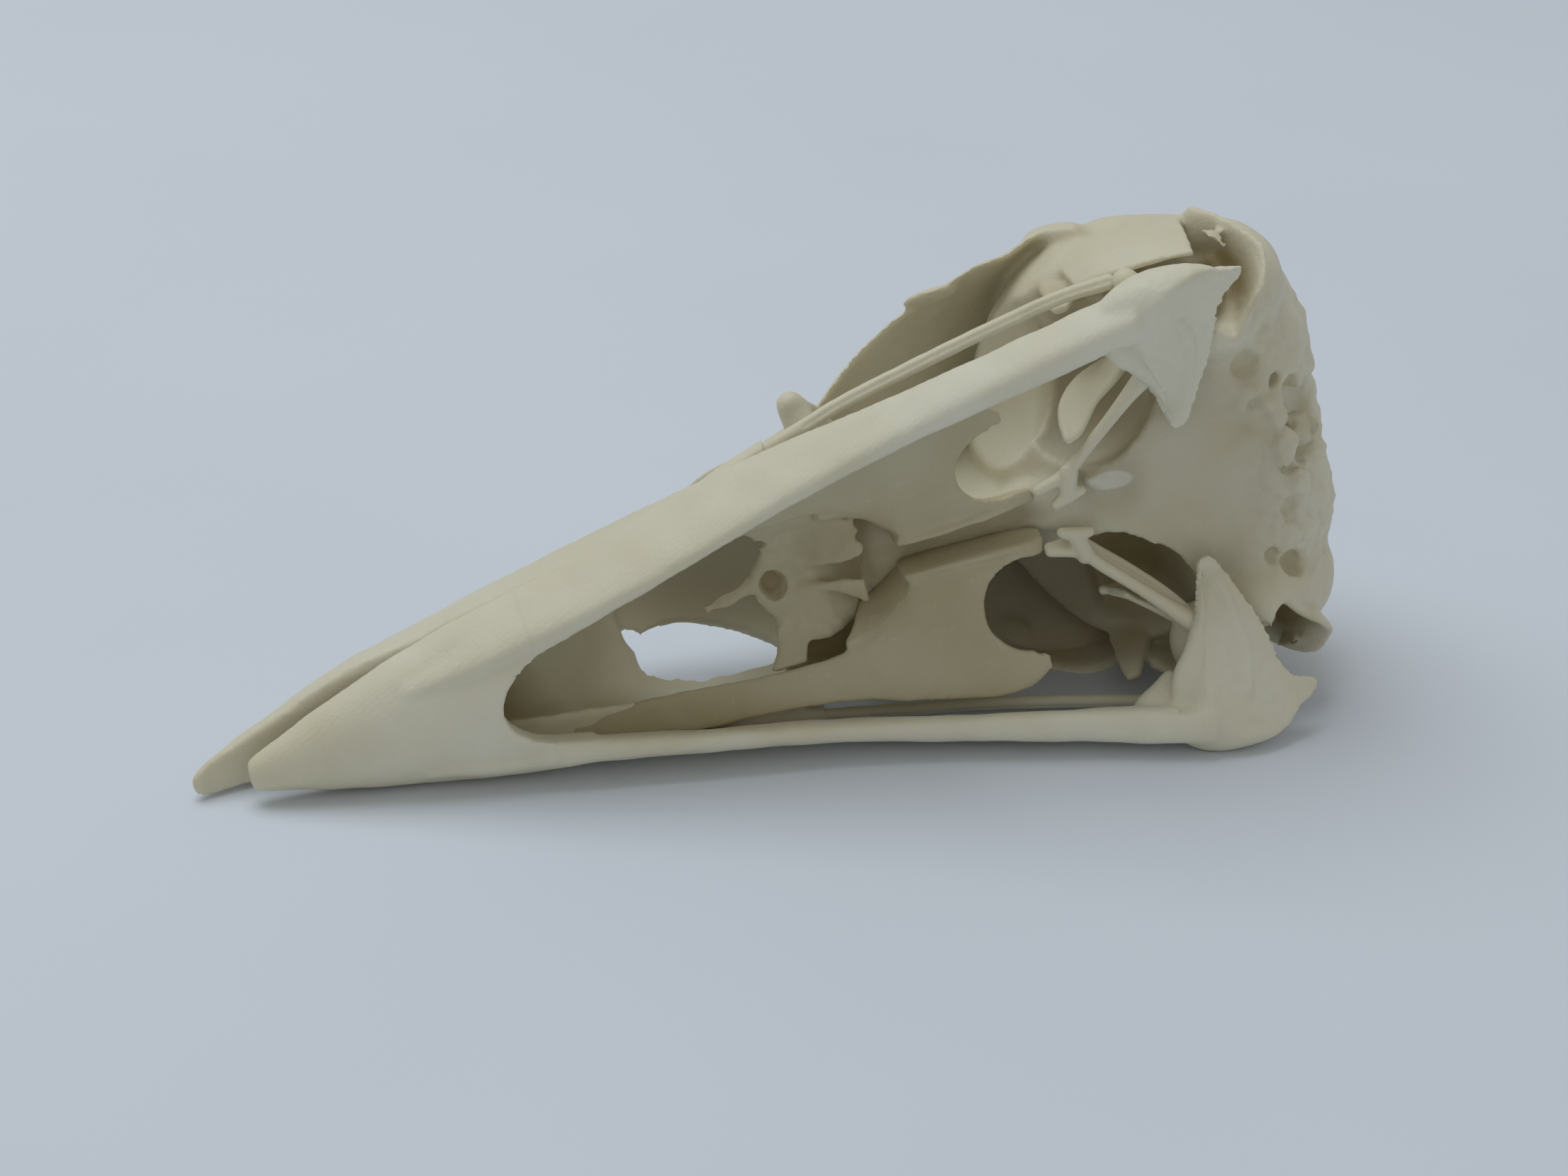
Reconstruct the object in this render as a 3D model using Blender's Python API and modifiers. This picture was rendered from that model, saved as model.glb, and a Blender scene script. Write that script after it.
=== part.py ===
"""A raven skull lying on its right side, bone by bone, for Blender 4.5.

The bones are modelled in the skull's own frame, in millimetres: x runs forward along the
bill from the jaw joint, y to the skull's left, z up from the palate. At the end they are
scaled to metres and laid on the floor by one parent empty.
"""
import math

import bmesh
import bpy
import numpy as np
from mathutils import Matrix, Vector

# Driving sizes in millimetres
GAP = 0.3
BILL_TIP_X = 94.8
MANDIBLE_TIP_X = 89.6
HINGE_X = 34.0
OCCIPUT_X = -18.6
BRAINCASE_TOP = 28.6
BRAINCASE_HALF_WIDTH = 21.7
BRAINCASE_MID_Z = 14.0
ORBIT_CENTRE = (18.4, 13.6, 9.2)
ORBIT_RADII = (11.8, 11.6, 8.6)
ORBIT_CORNER_CENTRE = (9.4, 19.4, 5.4)
ORBIT_CORNER_RADII = (6.4, 7.4, 6.8)
TEMPLE_HOLLOW_CENTRE = (6.0, 12.0, 3.2)
TEMPLE_HOLLOW_RADII = (7.4, 8.7, 6.4)
EAR_CENTRE = (-6.8, 16.2, 5.4)
EAR_RADII = (6.4, 6.2, 8.4)
EAR_HOLLOW_CENTRE = (-3.8, 18.7, 2.6)
EAR_HOLLOW_RADII = (6.4, 4.9, 6.8)
NARIS_CENTRE = (45.8, 10.4, 10.4)
NARIS_RADII = (7.4, 7.2, 4.1)
NARIS_TURN = (0, -12, 6)
FORAMEN_CENTRE = (-15.4, 0, 7.0)
FORAMEN_RADII = (5.2, 3.8, 3.6)
RIM_FALL_POWER = 3.4
SYMPHYSIS_NOTCH_X = 66.1
RAMUS_SPLIT_X = 62.0
JAW_FACET_POINT = (-3.6, 16.6, -5.6)
JAW_FACET_NORMAL = (-0.377, -0.373, -0.848)
JUGAL_RADIUS = 0.65
JUGAL_HEIGHT_SHARE = 1.15
PALATINE_THICKNESS = 0.9
FLAT_DEPTH = 0.22

# Pose on the floor in degrees
BILL_HEADING = 191.1
ROUGH_UP = (-0.22, 0.97, 0.06)

# Mesh fineness
CRANIUM_VOXEL = 0.42
BONE_VOXEL = 0.3
RING_SIDES = 20

COLLECTION_NAME = "raven_skull"
CUTTER_COLLECTION_NAME = "raven_skull_cutters"


def clear_scene():
    for item in list(bpy.data.objects):
        bpy.data.objects.remove(item, do_unlink=True)
    for name in (COLLECTION_NAME, CUTTER_COLLECTION_NAME):
        collection = bpy.data.collections.new(name)
        bpy.context.scene.collection.children.link(collection)


def add_object(name, builder, collection=CUTTER_COLLECTION_NAME):
    """Turn a bmesh into an object and free it."""
    mesh = bpy.data.meshes.new(name)
    builder.to_mesh(mesh)
    builder.free()
    item = bpy.data.objects.new(name, mesh)
    bpy.data.collections[collection].objects.link(item)
    return item


def through(rows, steps):
    """Points of a smooth curve through the rows, with the given steps between neighbours."""
    rows = np.array(rows, dtype=float)
    padded = np.vstack([2 * rows[0] - rows[1], rows, 2 * rows[-1] - rows[-2]])
    result = []
    for i in range(1, len(padded) - 2):
        before, start, end, after = padded[i - 1:i + 3]
        for t in np.linspace(0, 1, steps, endpoint=False):
            result.append(0.5 * (2 * start + (end - before) * t
                                 + (2 * before - 5 * start + 4 * end - after) * t ** 2
                                 + (3 * start - before - 3 * end + after) * t ** 3))
    result.append(rows[-1])
    return np.array(result)


def skin(name, rings):
    """A closed solid over rings of equal length."""
    builder = bmesh.new()
    rows = [[builder.verts.new(tuple(point)) for point in ring] for ring in rings]
    sides = len(rows[0])
    for lower, upper in zip(rows, rows[1:]):
        for i in range(sides):
            j = (i + 1) % sides
            builder.faces.new((lower[i], lower[j], upper[j], upper[i]))
    builder.faces.new(rows[0])
    builder.faces.new(rows[-1])
    bmesh.ops.recalc_face_normals(builder, faces=builder.faces)
    return add_object(name, builder)


def arch_loft(name, rows, waist=0.3, crown=2.0, keel=2.0, steps=5):
    """A loft along x, symmetric in y. Rows are x, half width, top z, bottom z, and maybe crown.

    The widest line lies at the waist, a share of the height. Crown and keel say how full the
    section is above and below it: 1 is straight sided, 2 is round, more is boxy.
    """
    rings = []
    angles = np.linspace(0, 2 * math.pi, RING_SIDES * 2, endpoint=False)
    for x, half_width, top, bottom, *fullness in through(rows, steps):
        crown = fullness[0] if fullness else crown
        middle = bottom + waist * (top - bottom)
        ring = []
        for angle in angles:
            c, s = math.cos(angle), math.sin(angle)
            power = 2.0 / (crown if s > 0 else keel)
            y = half_width * math.copysign(abs(c) ** power, c)
            reach = top - middle if s > 0 else middle - bottom
            ring.append((x, y, middle + reach * math.copysign(abs(s) ** power, s)))
        rings.append(ring)
    return skin(name, rings)


def ribbon(name, rows, steps=5):
    """A bent plate between two edges. Rows are x, y, z of one edge, x, y, z of the other, half thickness."""
    rows = through(rows, steps)
    middles = (rows[:, 0:3] + rows[:, 3:6]) / 2
    tangents = np.gradient(middles, axis=0)
    rings = []
    angles = np.linspace(0, 2 * math.pi, RING_SIDES, endpoint=False)
    for middle, tangent, row in zip(middles, tangents, rows):
        across = (row[3:6] - row[0:3]) / 2
        normal = np.cross(tangent, across)
        normal = normal / np.linalg.norm(normal)
        ring = []
        for angle in angles:
            c, s = math.cos(angle), math.sin(angle)
            spot = middle + across * math.copysign(abs(c) ** 0.7, c)
            ring.append(tuple(spot + normal * row[6] * math.copysign(abs(s) ** 0.6, s)))
        rings.append(ring)
    return skin(name, rings)


def sheet_loft(name, rows, steps=5):
    """A ribbon whose two edges keep the same x. Rows are x, y and z of each edge, half thickness."""
    return ribbon(name, [(x, y0, z0, x, y1, z1, half) for x, y0, z0, y1, z1, half in rows], steps)


def rod(name, rows, side=(0, 0, 1), steps=4, sides=14):
    """A tapering rod. Rows are x, y, z, half size along the side vector, half size across it."""
    rows = through(rows, steps)
    spots = rows[:, :3]
    tangents = np.gradient(spots, axis=0)
    rings = []
    angles = np.linspace(0, 2 * math.pi, sides, endpoint=False)

    def ring(spot, tangent, a, b):
        tangent = Vector(tangent).normalized()
        up = Vector(side) - tangent * Vector(side).dot(tangent)
        up.normalize()
        over = tangent.cross(up)
        return [tuple(Vector(spot) + up * a * math.cos(t) + over * b * math.sin(t)) for t in angles]

    last = len(rows) - 1
    for index, sign in ((0, -1), (last, 1)):
        a, b = rows[index, 3:5]
        reach = min(a, b)
        unit = tangents[index] / np.linalg.norm(tangents[index])
        caps = [ring(spots[index] + unit * sign * reach * rise, tangents[index], a * scale, b * scale)
                for rise, scale in ((0.45, 0.9), (0.8, 0.62), (0.97, 0.25))]
        if sign < 0:
            rings.extend(reversed(caps))
            rings.extend(ring(spots[i], tangents[i], *rows[i, 3:5]) for i in range(last + 1))
        else:
            rings.extend(caps)
    return skin(name, rings)


def blob(name, centre, radii, turn=(0, 0, 0)):
    """An ellipsoid, turned by degrees about x, y and z."""
    builder = bmesh.new()
    bmesh.ops.create_uvsphere(builder, u_segments=28, v_segments=18, radius=1.0)
    spin = Matrix.Identity(4)
    for degrees, axis in zip(turn, "XYZ"):
        spin = Matrix.Rotation(math.radians(degrees), 4, axis) @ spin
    size = Matrix.Diagonal((*radii, 1.0))
    bmesh.ops.transform(builder, matrix=Matrix.Translation(centre) @ spin @ size, verts=builder.verts)
    return add_object(name, builder)


def slab(name, point, normal, size):
    """A box with one face on a plane at the point, standing on the normal's side."""
    builder = bmesh.new()
    bmesh.ops.create_cube(builder, size=size)
    upright = Vector((0, 0, 1)).rotation_difference(Vector(normal)).to_matrix().to_4x4()
    place = Matrix.Translation(Vector(point) + Vector(normal).normalized() * size / 2) @ upright
    bmesh.ops.transform(builder, matrix=place, verts=builder.verts)
    return add_object(name, builder)


def mirrored(item, name):
    """A copy of an object on the other side of the middle plane."""
    builder = bmesh.new()
    builder.from_mesh(item.data)
    bmesh.ops.scale(builder, vec=(1, -1, 1), verts=builder.verts)
    bmesh.ops.reverse_faces(builder, faces=builder.faces)
    return add_object(name, builder)


def both(item):
    return [item, mirrored(item, item.name + "_mirror")]


def remove(items):
    for item in items:
        mesh = item.data
        bpy.data.objects.remove(item, do_unlink=True)
        bpy.data.meshes.remove(mesh)


def bake(item):
    """Apply every modifier of an object."""
    bpy.context.view_layer.update()
    evaluated = item.evaluated_get(bpy.context.evaluated_depsgraph_get())
    mesh = bpy.data.meshes.new_from_object(evaluated)
    old = item.data
    item.modifiers.clear()
    item.data = mesh
    bpy.data.meshes.remove(old)


def join(name, pieces):
    builder = bmesh.new()
    for piece in pieces:
        builder.from_mesh(piece.data)
    remove(pieces)
    return add_object(name, builder)


def remesh(item, voxel, smoothing):
    volume = item.modifiers.new("Fuse", "REMESH")
    volume.mode = "VOXEL"
    volume.voxel_size = voxel
    soften = item.modifiers.new("Soften", "SMOOTH")
    soften.factor = 0.5
    soften.iterations = smoothing
    bake(item)


def fuse(name, pieces, cutters=(), extras=(), voxel=BONE_VOXEL, smoothing=4):
    """Melt overlapping pieces into one bone, carve the cutters out of it, then add the extras."""
    bone = join(name, pieces)
    remesh(bone, voxel, 1)
    if cutters:
        carve(bone, cutters)
        bone = join(name, [bone, *extras])
        remesh(bone, voxel, smoothing)
    keep_largest(bone)
    return bone


def carve(bone, cutters):
    """Cut each cutter away. The meshes are dense and closed, so the fast solver is used."""
    for cutter in cutters:
        cutter.hide_render = True
        cutter.display_type = "WIRE"
        cut = bone.modifiers.new("Cut", "BOOLEAN")
        cut.operation = "DIFFERENCE"
        cut.solver = "MANIFOLD"
        cut.object = cutter
        bake(bone)
    remove(cutters)


def grown(item, amount):
    """A copy of a bone, thicker all over by the given amount."""
    copy = bpy.data.objects.new(item.name + "_grown", item.data.copy())
    bpy.data.collections[CUTTER_COLLECTION_NAME].objects.link(copy)
    swell = copy.modifiers.new("Swell", "DISPLACE")
    swell.mid_level = 0.0
    swell.strength = amount
    volume = copy.modifiers.new("Close", "REMESH")
    volume.mode = "VOXEL"
    volume.voxel_size = BONE_VOXEL
    bake(copy)
    return copy


def clear_of(bone, neighbours, gap=GAP):
    """Cut a bone back from its neighbours so that a thin gap is left."""
    carve(bone, [grown(neighbour, gap) for neighbour in neighbours])
    keep_largest(bone)


def islands(builder):
    """Groups of connected faces."""
    left = set(builder.faces)
    groups = []
    while left:
        stack = [left.pop()]
        group = []
        while stack:
            face = stack.pop()
            group.append(face)
            for edge in face.edges:
                for other in edge.link_faces:
                    if other in left:
                        left.remove(other)
                        stack.append(other)
        groups.append(group)
    return groups


def keep_largest(item):
    """Drop every closed surface but the one with the most faces."""
    builder = bmesh.new()
    builder.from_mesh(item.data)
    groups = sorted(islands(builder), key=len)
    extra = [face for group in groups[:-1] for face in group]
    bmesh.ops.delete(builder, geom=extra, context="FACES")
    builder.to_mesh(item.data)
    builder.free()


def thin_out(item, triangles):
    """Bring a dense mesh down to a number of triangles."""
    builder = bmesh.new()
    builder.from_mesh(item.data)
    bmesh.ops.triangulate(builder, faces=builder.faces)
    builder.to_mesh(item.data)
    builder.free()
    thin = item.modifiers.new("Thin", "DECIMATE")
    thin.ratio = triangles / max(len(item.data.polygons), triangles)
    bake(item)
    keep_largest(item)


def slice_off(item, point, normal):
    """Cut away what lies on the normal's side of a plane and close the cut flat."""
    builder = bmesh.new()
    builder.from_mesh(item.data)
    geometry = builder.verts[:] + builder.edges[:] + builder.faces[:]
    bmesh.ops.bisect_plane(builder, geom=geometry, dist=1e-4, plane_co=point, plane_no=normal,
                           clear_outer=True)
    rim = [edge for edge in builder.edges if edge.is_boundary]
    if rim:
        caps = bmesh.ops.holes_fill(builder, edges=rim)["faces"]
        bmesh.ops.triangulate(builder, faces=caps)
    bmesh.ops.recalc_face_normals(builder, faces=builder.faces)
    builder.to_mesh(item.data)
    builder.free()


def upper_beak():
    """The bill: solid in front, an arched shell behind, open below and at the nares."""
    outer = arch_loft("bill", [
        (HINGE_X - 3, 11.0, 20.6, 3.0, 2.7), (HINGE_X, 11.4, 20.0, 1.4, 2.6),
        (40, 11.6, 18.9, 0.0, 2.2), (47, 10.9, 17.6, -0.2, 1.85), (55, 9.7, 16.2, -0.3, 1.66),
        (63, 8.4, 14.4, -0.3, 1.62), (71, 6.7, 11.9, -0.3, 1.62), (79, 5.4, 8.7, -0.5, 1.62),
        (85, 3.5, 5.6, -0.9, 1.62), (90, 2.3, 2.0, -2.0, 1.62),
        (93.2, 1.7, -0.9, -3.2, 1.62), (BILL_TIP_X, 0.9, -2.9, -4.0, 1.62)],
        waist=0.06, keel=4.0)
    flares = both(rod("tomium_flare", [
        (52, 9.4, 0.9, 1.0, 1.0), (45, 11.2, 1.4, 1.3, 1.1), (38, 13.5, 2.2, 1.2, 1.1),
        (HINGE_X - 1, 14.9, 2.6, 1.0, 0.9)]))
    hollow = arch_loft("hollow", [
        (HINGE_X - 5, 9.6, 18.2, -5.0), (40, 9.6, 16.6, -6.0), (48, 8.8, 15.4, -5.0),
        (51.6, 8.1, 14.8, -4.6), (52.8, 7.7, 12.6, -4.4), (56, 7.2, 12.0, -4.0),
        (63, 5.8, 9.8, -3.4), (69, 3.8, 6.4, -3.0), (74, 1.4, 1.5, -2.0)],
        waist=0.6, crown=1.8, keel=1.8)
    nares = both(blob("naris", NARIS_CENTRE, NARIS_RADII, NARIS_TURN))
    beak = fuse("upper_beak", [outer, *flares], [hollow, *nares], voxel=0.35, smoothing=3)
    return beak


def cranium():
    """Braincase, frontal roof, septum between the orbits, skull base and ear wings."""
    half_length = (15.6 - OCCIPUT_X) / 2
    middle_x = OCCIPUT_X + half_length
    half_height = BRAINCASE_TOP - BRAINCASE_MID_Z
    pieces = [
        blob("braincase", (middle_x, 0, BRAINCASE_MID_Z),
             (half_length, BRAINCASE_HALF_WIDTH, half_height)),
        *both(blob("rear_lobe", (-7.2, 8.0, 12.8), (11.0, 12.2, 12.4))),
        *both(blob("temple", (-2.0, 12.2, 14.6), (9.4, 9.2, 10.2))),
        *both(blob("ear_bulge", EAR_CENTRE, EAR_RADII, (-8, 0, 0))),
        arch_loft("base", [
            (-12.6, 9.0, 9.0, 1.8), (-8, 12.2, 9.0, 1.2), (-3.6, 12.6, 9.0, 1.0), (-1.2, 10.4, 9.0, 1.0),
            (0.6, 7.4, 9.0, 1.1), (2.8, 5.0, 8.6, 1.2), (5, 3.9, 8.0, 1.4), (8, 3.3, 7.4, 1.8),
            (11, 2.8, 7.0, 2.6), (15, 1.6, 8.0, 4.0)], crown=2.6, keel=2.6),
        rod("rostrum", [(7, 0, 3.6, 1.7, 2.4), (11, 0, 4.6, 1.1, 2.5), (23, 0, 5.0, 1.0, 2.6),
                        (28, 0, 5.4, 1.0, 4.4)]),
        sheet_loft("septum", [(5, 0, 2.5, 0, 26, 1.3), (14, 0, 4.5, 0, 26, 1.0),
                              (24, 0, 5.0, 0, 23, 1.0), (HINGE_X - 1, 0, 5.5, 0, 19.0, 1.1)]),
        *both(rod("ectethmoid", [
            (29.6, 1.0, 11.8, 6.6, 2.9), (29.8, 6.5, 11.6, 6.4, 2.9), (30.4, 10.2, 11.0, 5.4, 2.5),
            (31.4, 12.6, 10.8, 3.0, 1.8), (32.0, 14.2, 10.6, 1.4, 1.4)])),
        roof(),
        *both(rod("rim_hook", [(3.6, 20.6, 18.6, 2.6, 0.8), (2.6, 21.4, 16.8, 2.0, 0.7),
                               (1.0, 21.9, 14.4, 0.9, 0.5)], side=(1, 0, 0))),
    ]
    cutters = [
        *both(blob("orbit", ORBIT_CENTRE, ORBIT_RADII)),
        *both(blob("orbit_corner", ORBIT_CORNER_CENTRE, ORBIT_CORNER_RADII, (0, 0, -24))),
        *both(blob("temple_hollow", TEMPLE_HOLLOW_CENTRE, TEMPLE_HOLLOW_RADII)),
        *both(blob("ear_hollow", EAR_HOLLOW_CENTRE, EAR_HOLLOW_RADII, (-14, 0, 0))),
        blob("foramen", FORAMEN_CENTRE, FORAMEN_RADII, (0, 25, 0)),
        blob("condyle_well", (-12.8, -0.3, 1.8), (2.5, 2.7, 2.4)),
        blob("foramen_corner", (-13.6, 4.0, 4.0), (1.7, 2.0, 2.2)),
        blob("wing_pit", (-9.6, 9.6, 0.9), (1.7, 1.3, 1.7)),
        blob("round_pit", (-10.4, -11.9, 1.6), (1.3, 1.5, 1.8)),
    ]
    extras = [
        *both(ear_wing()),
        *both(zygoma()),
        *both(orbit_wall()),
        blob("condyle", (-12.0, 0.2, 2.2), (1.3, 1.7, 1.3)),
        blob("foramen_boss", (-14.2, 0.4, 4.6), (1.6, 1.6, 1.6)),
        blob("left_boss", (-11.4, 3.3, 2.4), (1.1, 1.3, 1.2)),
    ]
    return fuse("cranium", pieces, cutters, extras, voxel=CRANIUM_VOXEL, smoothing=2)


def ear_wing():
    """The thin flared plate behind the ear hollow, from its root on the braincase to its rim."""
    return ribbon("ear_wing", [
        (-9.2, 22.6, 10.8, -6.0, 17.6, 13.4, 0.7), (-10.6, 22.5, 7.4, -7.4, 17.0, 11.0, 0.7),
        (-12.2, 21.6, 4.0, -8.6, 16.0, 8.4, 0.7), (-13.1, 20.4, 1.3, -9.2, 14.8, 5.6, 0.7),
        (-12.2, 18.3, -0.9, -9.0, 13.6, 3.6, 0.7), (-10.3, 16.3, -1.8, -8.2, 12.4, 2.4, 0.7),
        (-8.8, 14.2, -1.9, -7.2, 11.4, 2.0, 0.7), (-7.5, 12.6, -1.4, -6.4, 10.6, 2.0, 0.7)])


def zygoma():
    """The flange of the temple that covers the top of the quadrate."""
    return ribbon("zygoma", [
        (4.2, 19.8, 6.4, 4.0, 19.2, 13.0, 0.7), (1.6, 21.1, 4.9, 1.0, 20.8, 14.0, 0.65),
        (-1.4, 21.8, 4.4, -1.8, 21.2, 14.6, 0.65), (-4.4, 22.1, 4.8, -4.6, 21.2, 14.6, 0.65),
        (-6.6, 22.1, 6.4, -6.6, 21.2, 13.8, 0.65)])


def orbit_wall():
    """The thin wall that drops between the orbit and the ear, with its corner near the cheek bar."""
    return ribbon("orbit_wall", [
        (6.2, 18.2, 13.6, -1.0, 15.6, 14.4, 0.9), (6.9, 18.8, 8.4, 1.6, 17.4, 9.6, 0.75),
        (7.3, 19.2, 4.8, 4.2, 18.8, 5.4, 0.65), (7.3, 19.5, 2.2, 5.8, 19.3, 2.4, 0.55)])


def roof():
    """The frontal roof over both orbits. Rows: x, half width, crown z, fall to the rims."""
    rings = []
    angles = np.linspace(0, 2 * math.pi, 48, endpoint=False)
    rows = [(HINGE_X + 1, 9.4, 19.9, 4.0), (29.5, 10.6, 20.8, 3.2), (26.5, 12.6, 21.6, 3.2),
            (23.5, 14.6, 22.8, 3.8), (20, 16.9, 24.2, 6.0), (16, 19.4, 25.6, 9.4), (13, 21.0, 26.6, 11.8),
            (10.4, 21.7, 27.0, 12.4), (8.2, 21.6, 27.4, 12.2), (6.4, 22.0, 27.8, 12.0),
            (4.6, 22.2, 28.0, 11.4), (2.0, 21.4, 28.3, 10.4), (-3, 18.2, 27.6, 9.6)]
    for x, half_width, crown, fall in through(rows, 4):
        ring = []
        for angle in angles:
            c, s = math.cos(angle), math.sin(angle)
            across = math.copysign(abs(c) ** 0.75, c)
            half = 1.25 - 0.3 * across ** 2
            z = crown - 1.2 - fall * abs(across) ** RIM_FALL_POWER + half * math.copysign(abs(s) ** 0.7, s)
            ring.append((x, half_width * across, z))
        rings.append(ring)
    return skin("roof", rings)


def vomer():
    """The floor in front of the septum, with its round hole, spike and ragged side leaves."""
    pieces = [
        *both(sheet_loft("side", [
            (30.5, -0.2, 5.4, 6.0, 5.0, 0.45), (32, -0.2, 4.9, 6.2, 3.7, 0.45),
            (33.6, -0.2, 4.4, 6.3, 2.7, 0.45), (35.4, -0.2, 4.3, 6.3, 2.3, 0.45),
            (37.4, -0.2, 4.3, 5.8, 2.5, 0.45), (38.8, -0.2, 4.3, 3.6, 3.4, 0.45),
            (40.0, -0.2, 4.3, 1.5, 4.2, 0.4)])),
        *both(ribbon("arm", [
            (36.0, 4.8, 2.9, 39.0, 4.2, 3.2, 0.45), (36.4, 6.3, 2.2, 39.5, 6.1, 2.2, 0.45),
            (37.0, 7.6, 1.3, 40.6, 7.4, 1.2, 0.45)])),
        sheet_loft("left_leaf", [
            (35.2, 0.7, 3.9, 6.2, 2.4, 0.42), (33.2, 0.9, 2.9, 6.3, 2.2, 0.42), (31.2, 0.7, 2.5, 6.2, 2.2, 0.4),
            (29.4, 1.0, 2.4, 5.8, 2.4, 0.36)]),
        sheet_loft("right_leaf", [
            (35.2, -0.7, 3.9, -2.4, 3.5, 0.42), (32.4, -0.9, 2.8, -2.4, 2.9, 0.4),
            (30.9, -1.0, 2.4, -3.4, 2.8, 0.4), (29.6, -1.5, 2.3, -4.4, 2.7, 0.36)]),
        sheet_loft("floor", [
            (24.5, -2.4, 5.6, 2.4, 5.6, 0.6), (28, -4.6, 5.6, 4.6, 5.6, 0.6), (31, -5.6, 5.6, 5.6, 5.6, 0.6),
            (35, -6.0, 5.2, 6.0, 5.2, 0.6), (37, -3.0, 4.7, 3.0, 4.7, 0.5)]),
        rod("spike", [(39.4, 0.3, 4.3, 0.5, 1.0), (41.2, -0.1, 4.2, 0.5, 0.62), (42.8, -0.35, 4.1, 0.5, 0.62),
                      (44.4, -0.7, 4.0, 0.42, 0.45)]),
    ]
    hole = blob("round_hole", (38.2, 0, 4.3), (1.3, 1.5, 4.0))
    return fuse("vomer", pieces, [hole], voxel=0.24, smoothing=1)


def palatine():
    """The left palate plate: a bar in front, a broad plate behind, its inner walls turned up."""
    half = PALATINE_THICKNESS / 2
    pieces = [
        sheet_loft("bar", [
            (60, 6.2, 0.3, 7.0, 0.2, half), (56, 5.9, 0.2, 8.4, 0.0, half), (51.5, 6.1, 0.1, 8.9, -0.4, half),
            (47, 6.5, 0.1, 9.1, -0.9, half), (43, 7.0, 0.3, 9.4, -1.0, half), (38, 7.4, 0.4, 10.2, -1.0, half),
            (33, 7.2, 0.6, 11.8, -1.3, half), (29.8, 6.2, 0.7, 12.8, -1.6, half),
            (27.4, 4.6, 0.9, 13.4, -1.8, half), (25.6, 2.0, 1.1, 13.8, -2.0, half),
            (23, 2.0, 1.2, 14.4, -2.2, half), (20.6, 2.2, 1.2, 14.9, -2.4, half),
            (17.6, 2.6, 1.2, 14.9, -2.5, half), (15.6, 2.8, 1.2, 14.0, -2.5, half * 0.9)]),
        rod("inner_tail", [(19, 3.2, 1.1, half, 1.3), (16, 3.1, 1.3, 0.5, 0.9), (13.2, 2.8, 1.4, 0.5, 0.7)],
            side=(0, 0.3, 1)),
        sheet_loft("crest", [
            (26.4, 1.9, 0.7, 1.5, 4.2, 0.5), (24, 1.8, 0.6, 1.4, 4.4, 0.5), (21, 1.9, 0.6, 1.4, 4.2, 0.5),
            (17, 2.1, 0.7, 1.5, 4.0, 0.5), (14.4, 2.3, 1.0, 1.6, 3.8, 0.5), (12.6, 2.4, 1.4, 1.9, 3.2, 0.45)]),
        sheet_loft("inner_wall", [
            (38.0, 7.6, 0.6, 7.0, 3.6, half), (34.0, 7.0, 0.7, 5.8, 4.4, half),
            (31, 6.5, 0.7, 4.8, 5.0, half), (28.6, 5.5, 0.8, 3.9, 5.2, half),
            (26.8, 4.0, 0.9, 2.5, 5.2, half), (25.6, 2.5, 1.1, 1.8, 5.2, half)]),
    ]
    notches = [
        blob("rear_notch", (15.4, 7.4, -1.0), (4.5, 4.3, 9.0)),
        blob("rear_notch_outer", (13.6, 10.6, -1.0), (2.4, 2.0, 9.0)),
    ]
    return fuse("palatine_left", pieces, notches, voxel=0.26, smoothing=2)


def pterygoid():
    """The left rod from the palate to the quadrate, with a flared front end."""
    pieces = [
        rod("shaft", [(12.4, 3.2, 0.6, 0.7, 0.6), (9.4, 4.0, 0.4, 0.9, 0.9), (5.2, 8.1, -1.2, 1.0, 0.95),
                      (1.6, 12.2, -2.0, 1.3, 1.2)]),
        rod("flare", [(11.0, 1.5, 0.3, 0.6, 0.5), (9.6, 2.0, 0.2, 0.8, 0.8), (8.2, 2.2, 0.3, 0.6, 0.5)]),
        rod("neck", [(9.6, 2.0, 0.2, 0.7, 0.8), (9.0, 4.4, 0.2, 0.8, 0.9)]),
        rod("second_ridge", [(7.0, 7.0, 0.3, 0.8, 0.7), (4.0, 10.2, -0.4, 0.9, 0.8),
                             (1.6, 12.6, -0.7, 0.9, 0.8)]),
    ]
    return fuse("pterygoid_left", pieces, voxel=0.24)


def quadrate():
    """The left hinge bone between the braincase and the lower jaw."""
    pieces = [
        blob("body", (-0.6, 17.2, 0.6), (3.4, 4.4, 3.4)),
        blob("inner_knuckle", (-0.8, 13.9, -2.2), (2.0, 2.0, 1.8)),
        blob("outer_knuckle", (-0.9, 20.3, -2.2), (2.3, 1.8, 1.9)),
        rod("ear_process", [(-0.8, 17.6, 2.0, 2.4, 2.2), (-2.0, 18.2, 5.5, 2.0, 2.0),
                            (-2.6, 18.2, 9.5, 2.2, 2.2)], side=(1, 0, 0)),
        rod("orbital_process", [(1.0, 15.2, 1.2, 2.4, 0.9), (4.4, 12.6, 2.6, 2.0, 0.7),
                                (7.2, 10.2, 3.6, 1.4, 0.5), (8.0, 7.6, 4.0, 0.8, 0.45)]),
        rod("jugal_socket", [(-0.2, 20.0, -0.4, 1.5, 1.5), (0.8, 21.8, -1.4, 1.4, 1.3)]),
    ]
    return fuse("quadrate_left", pieces, voxel=0.28)


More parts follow.
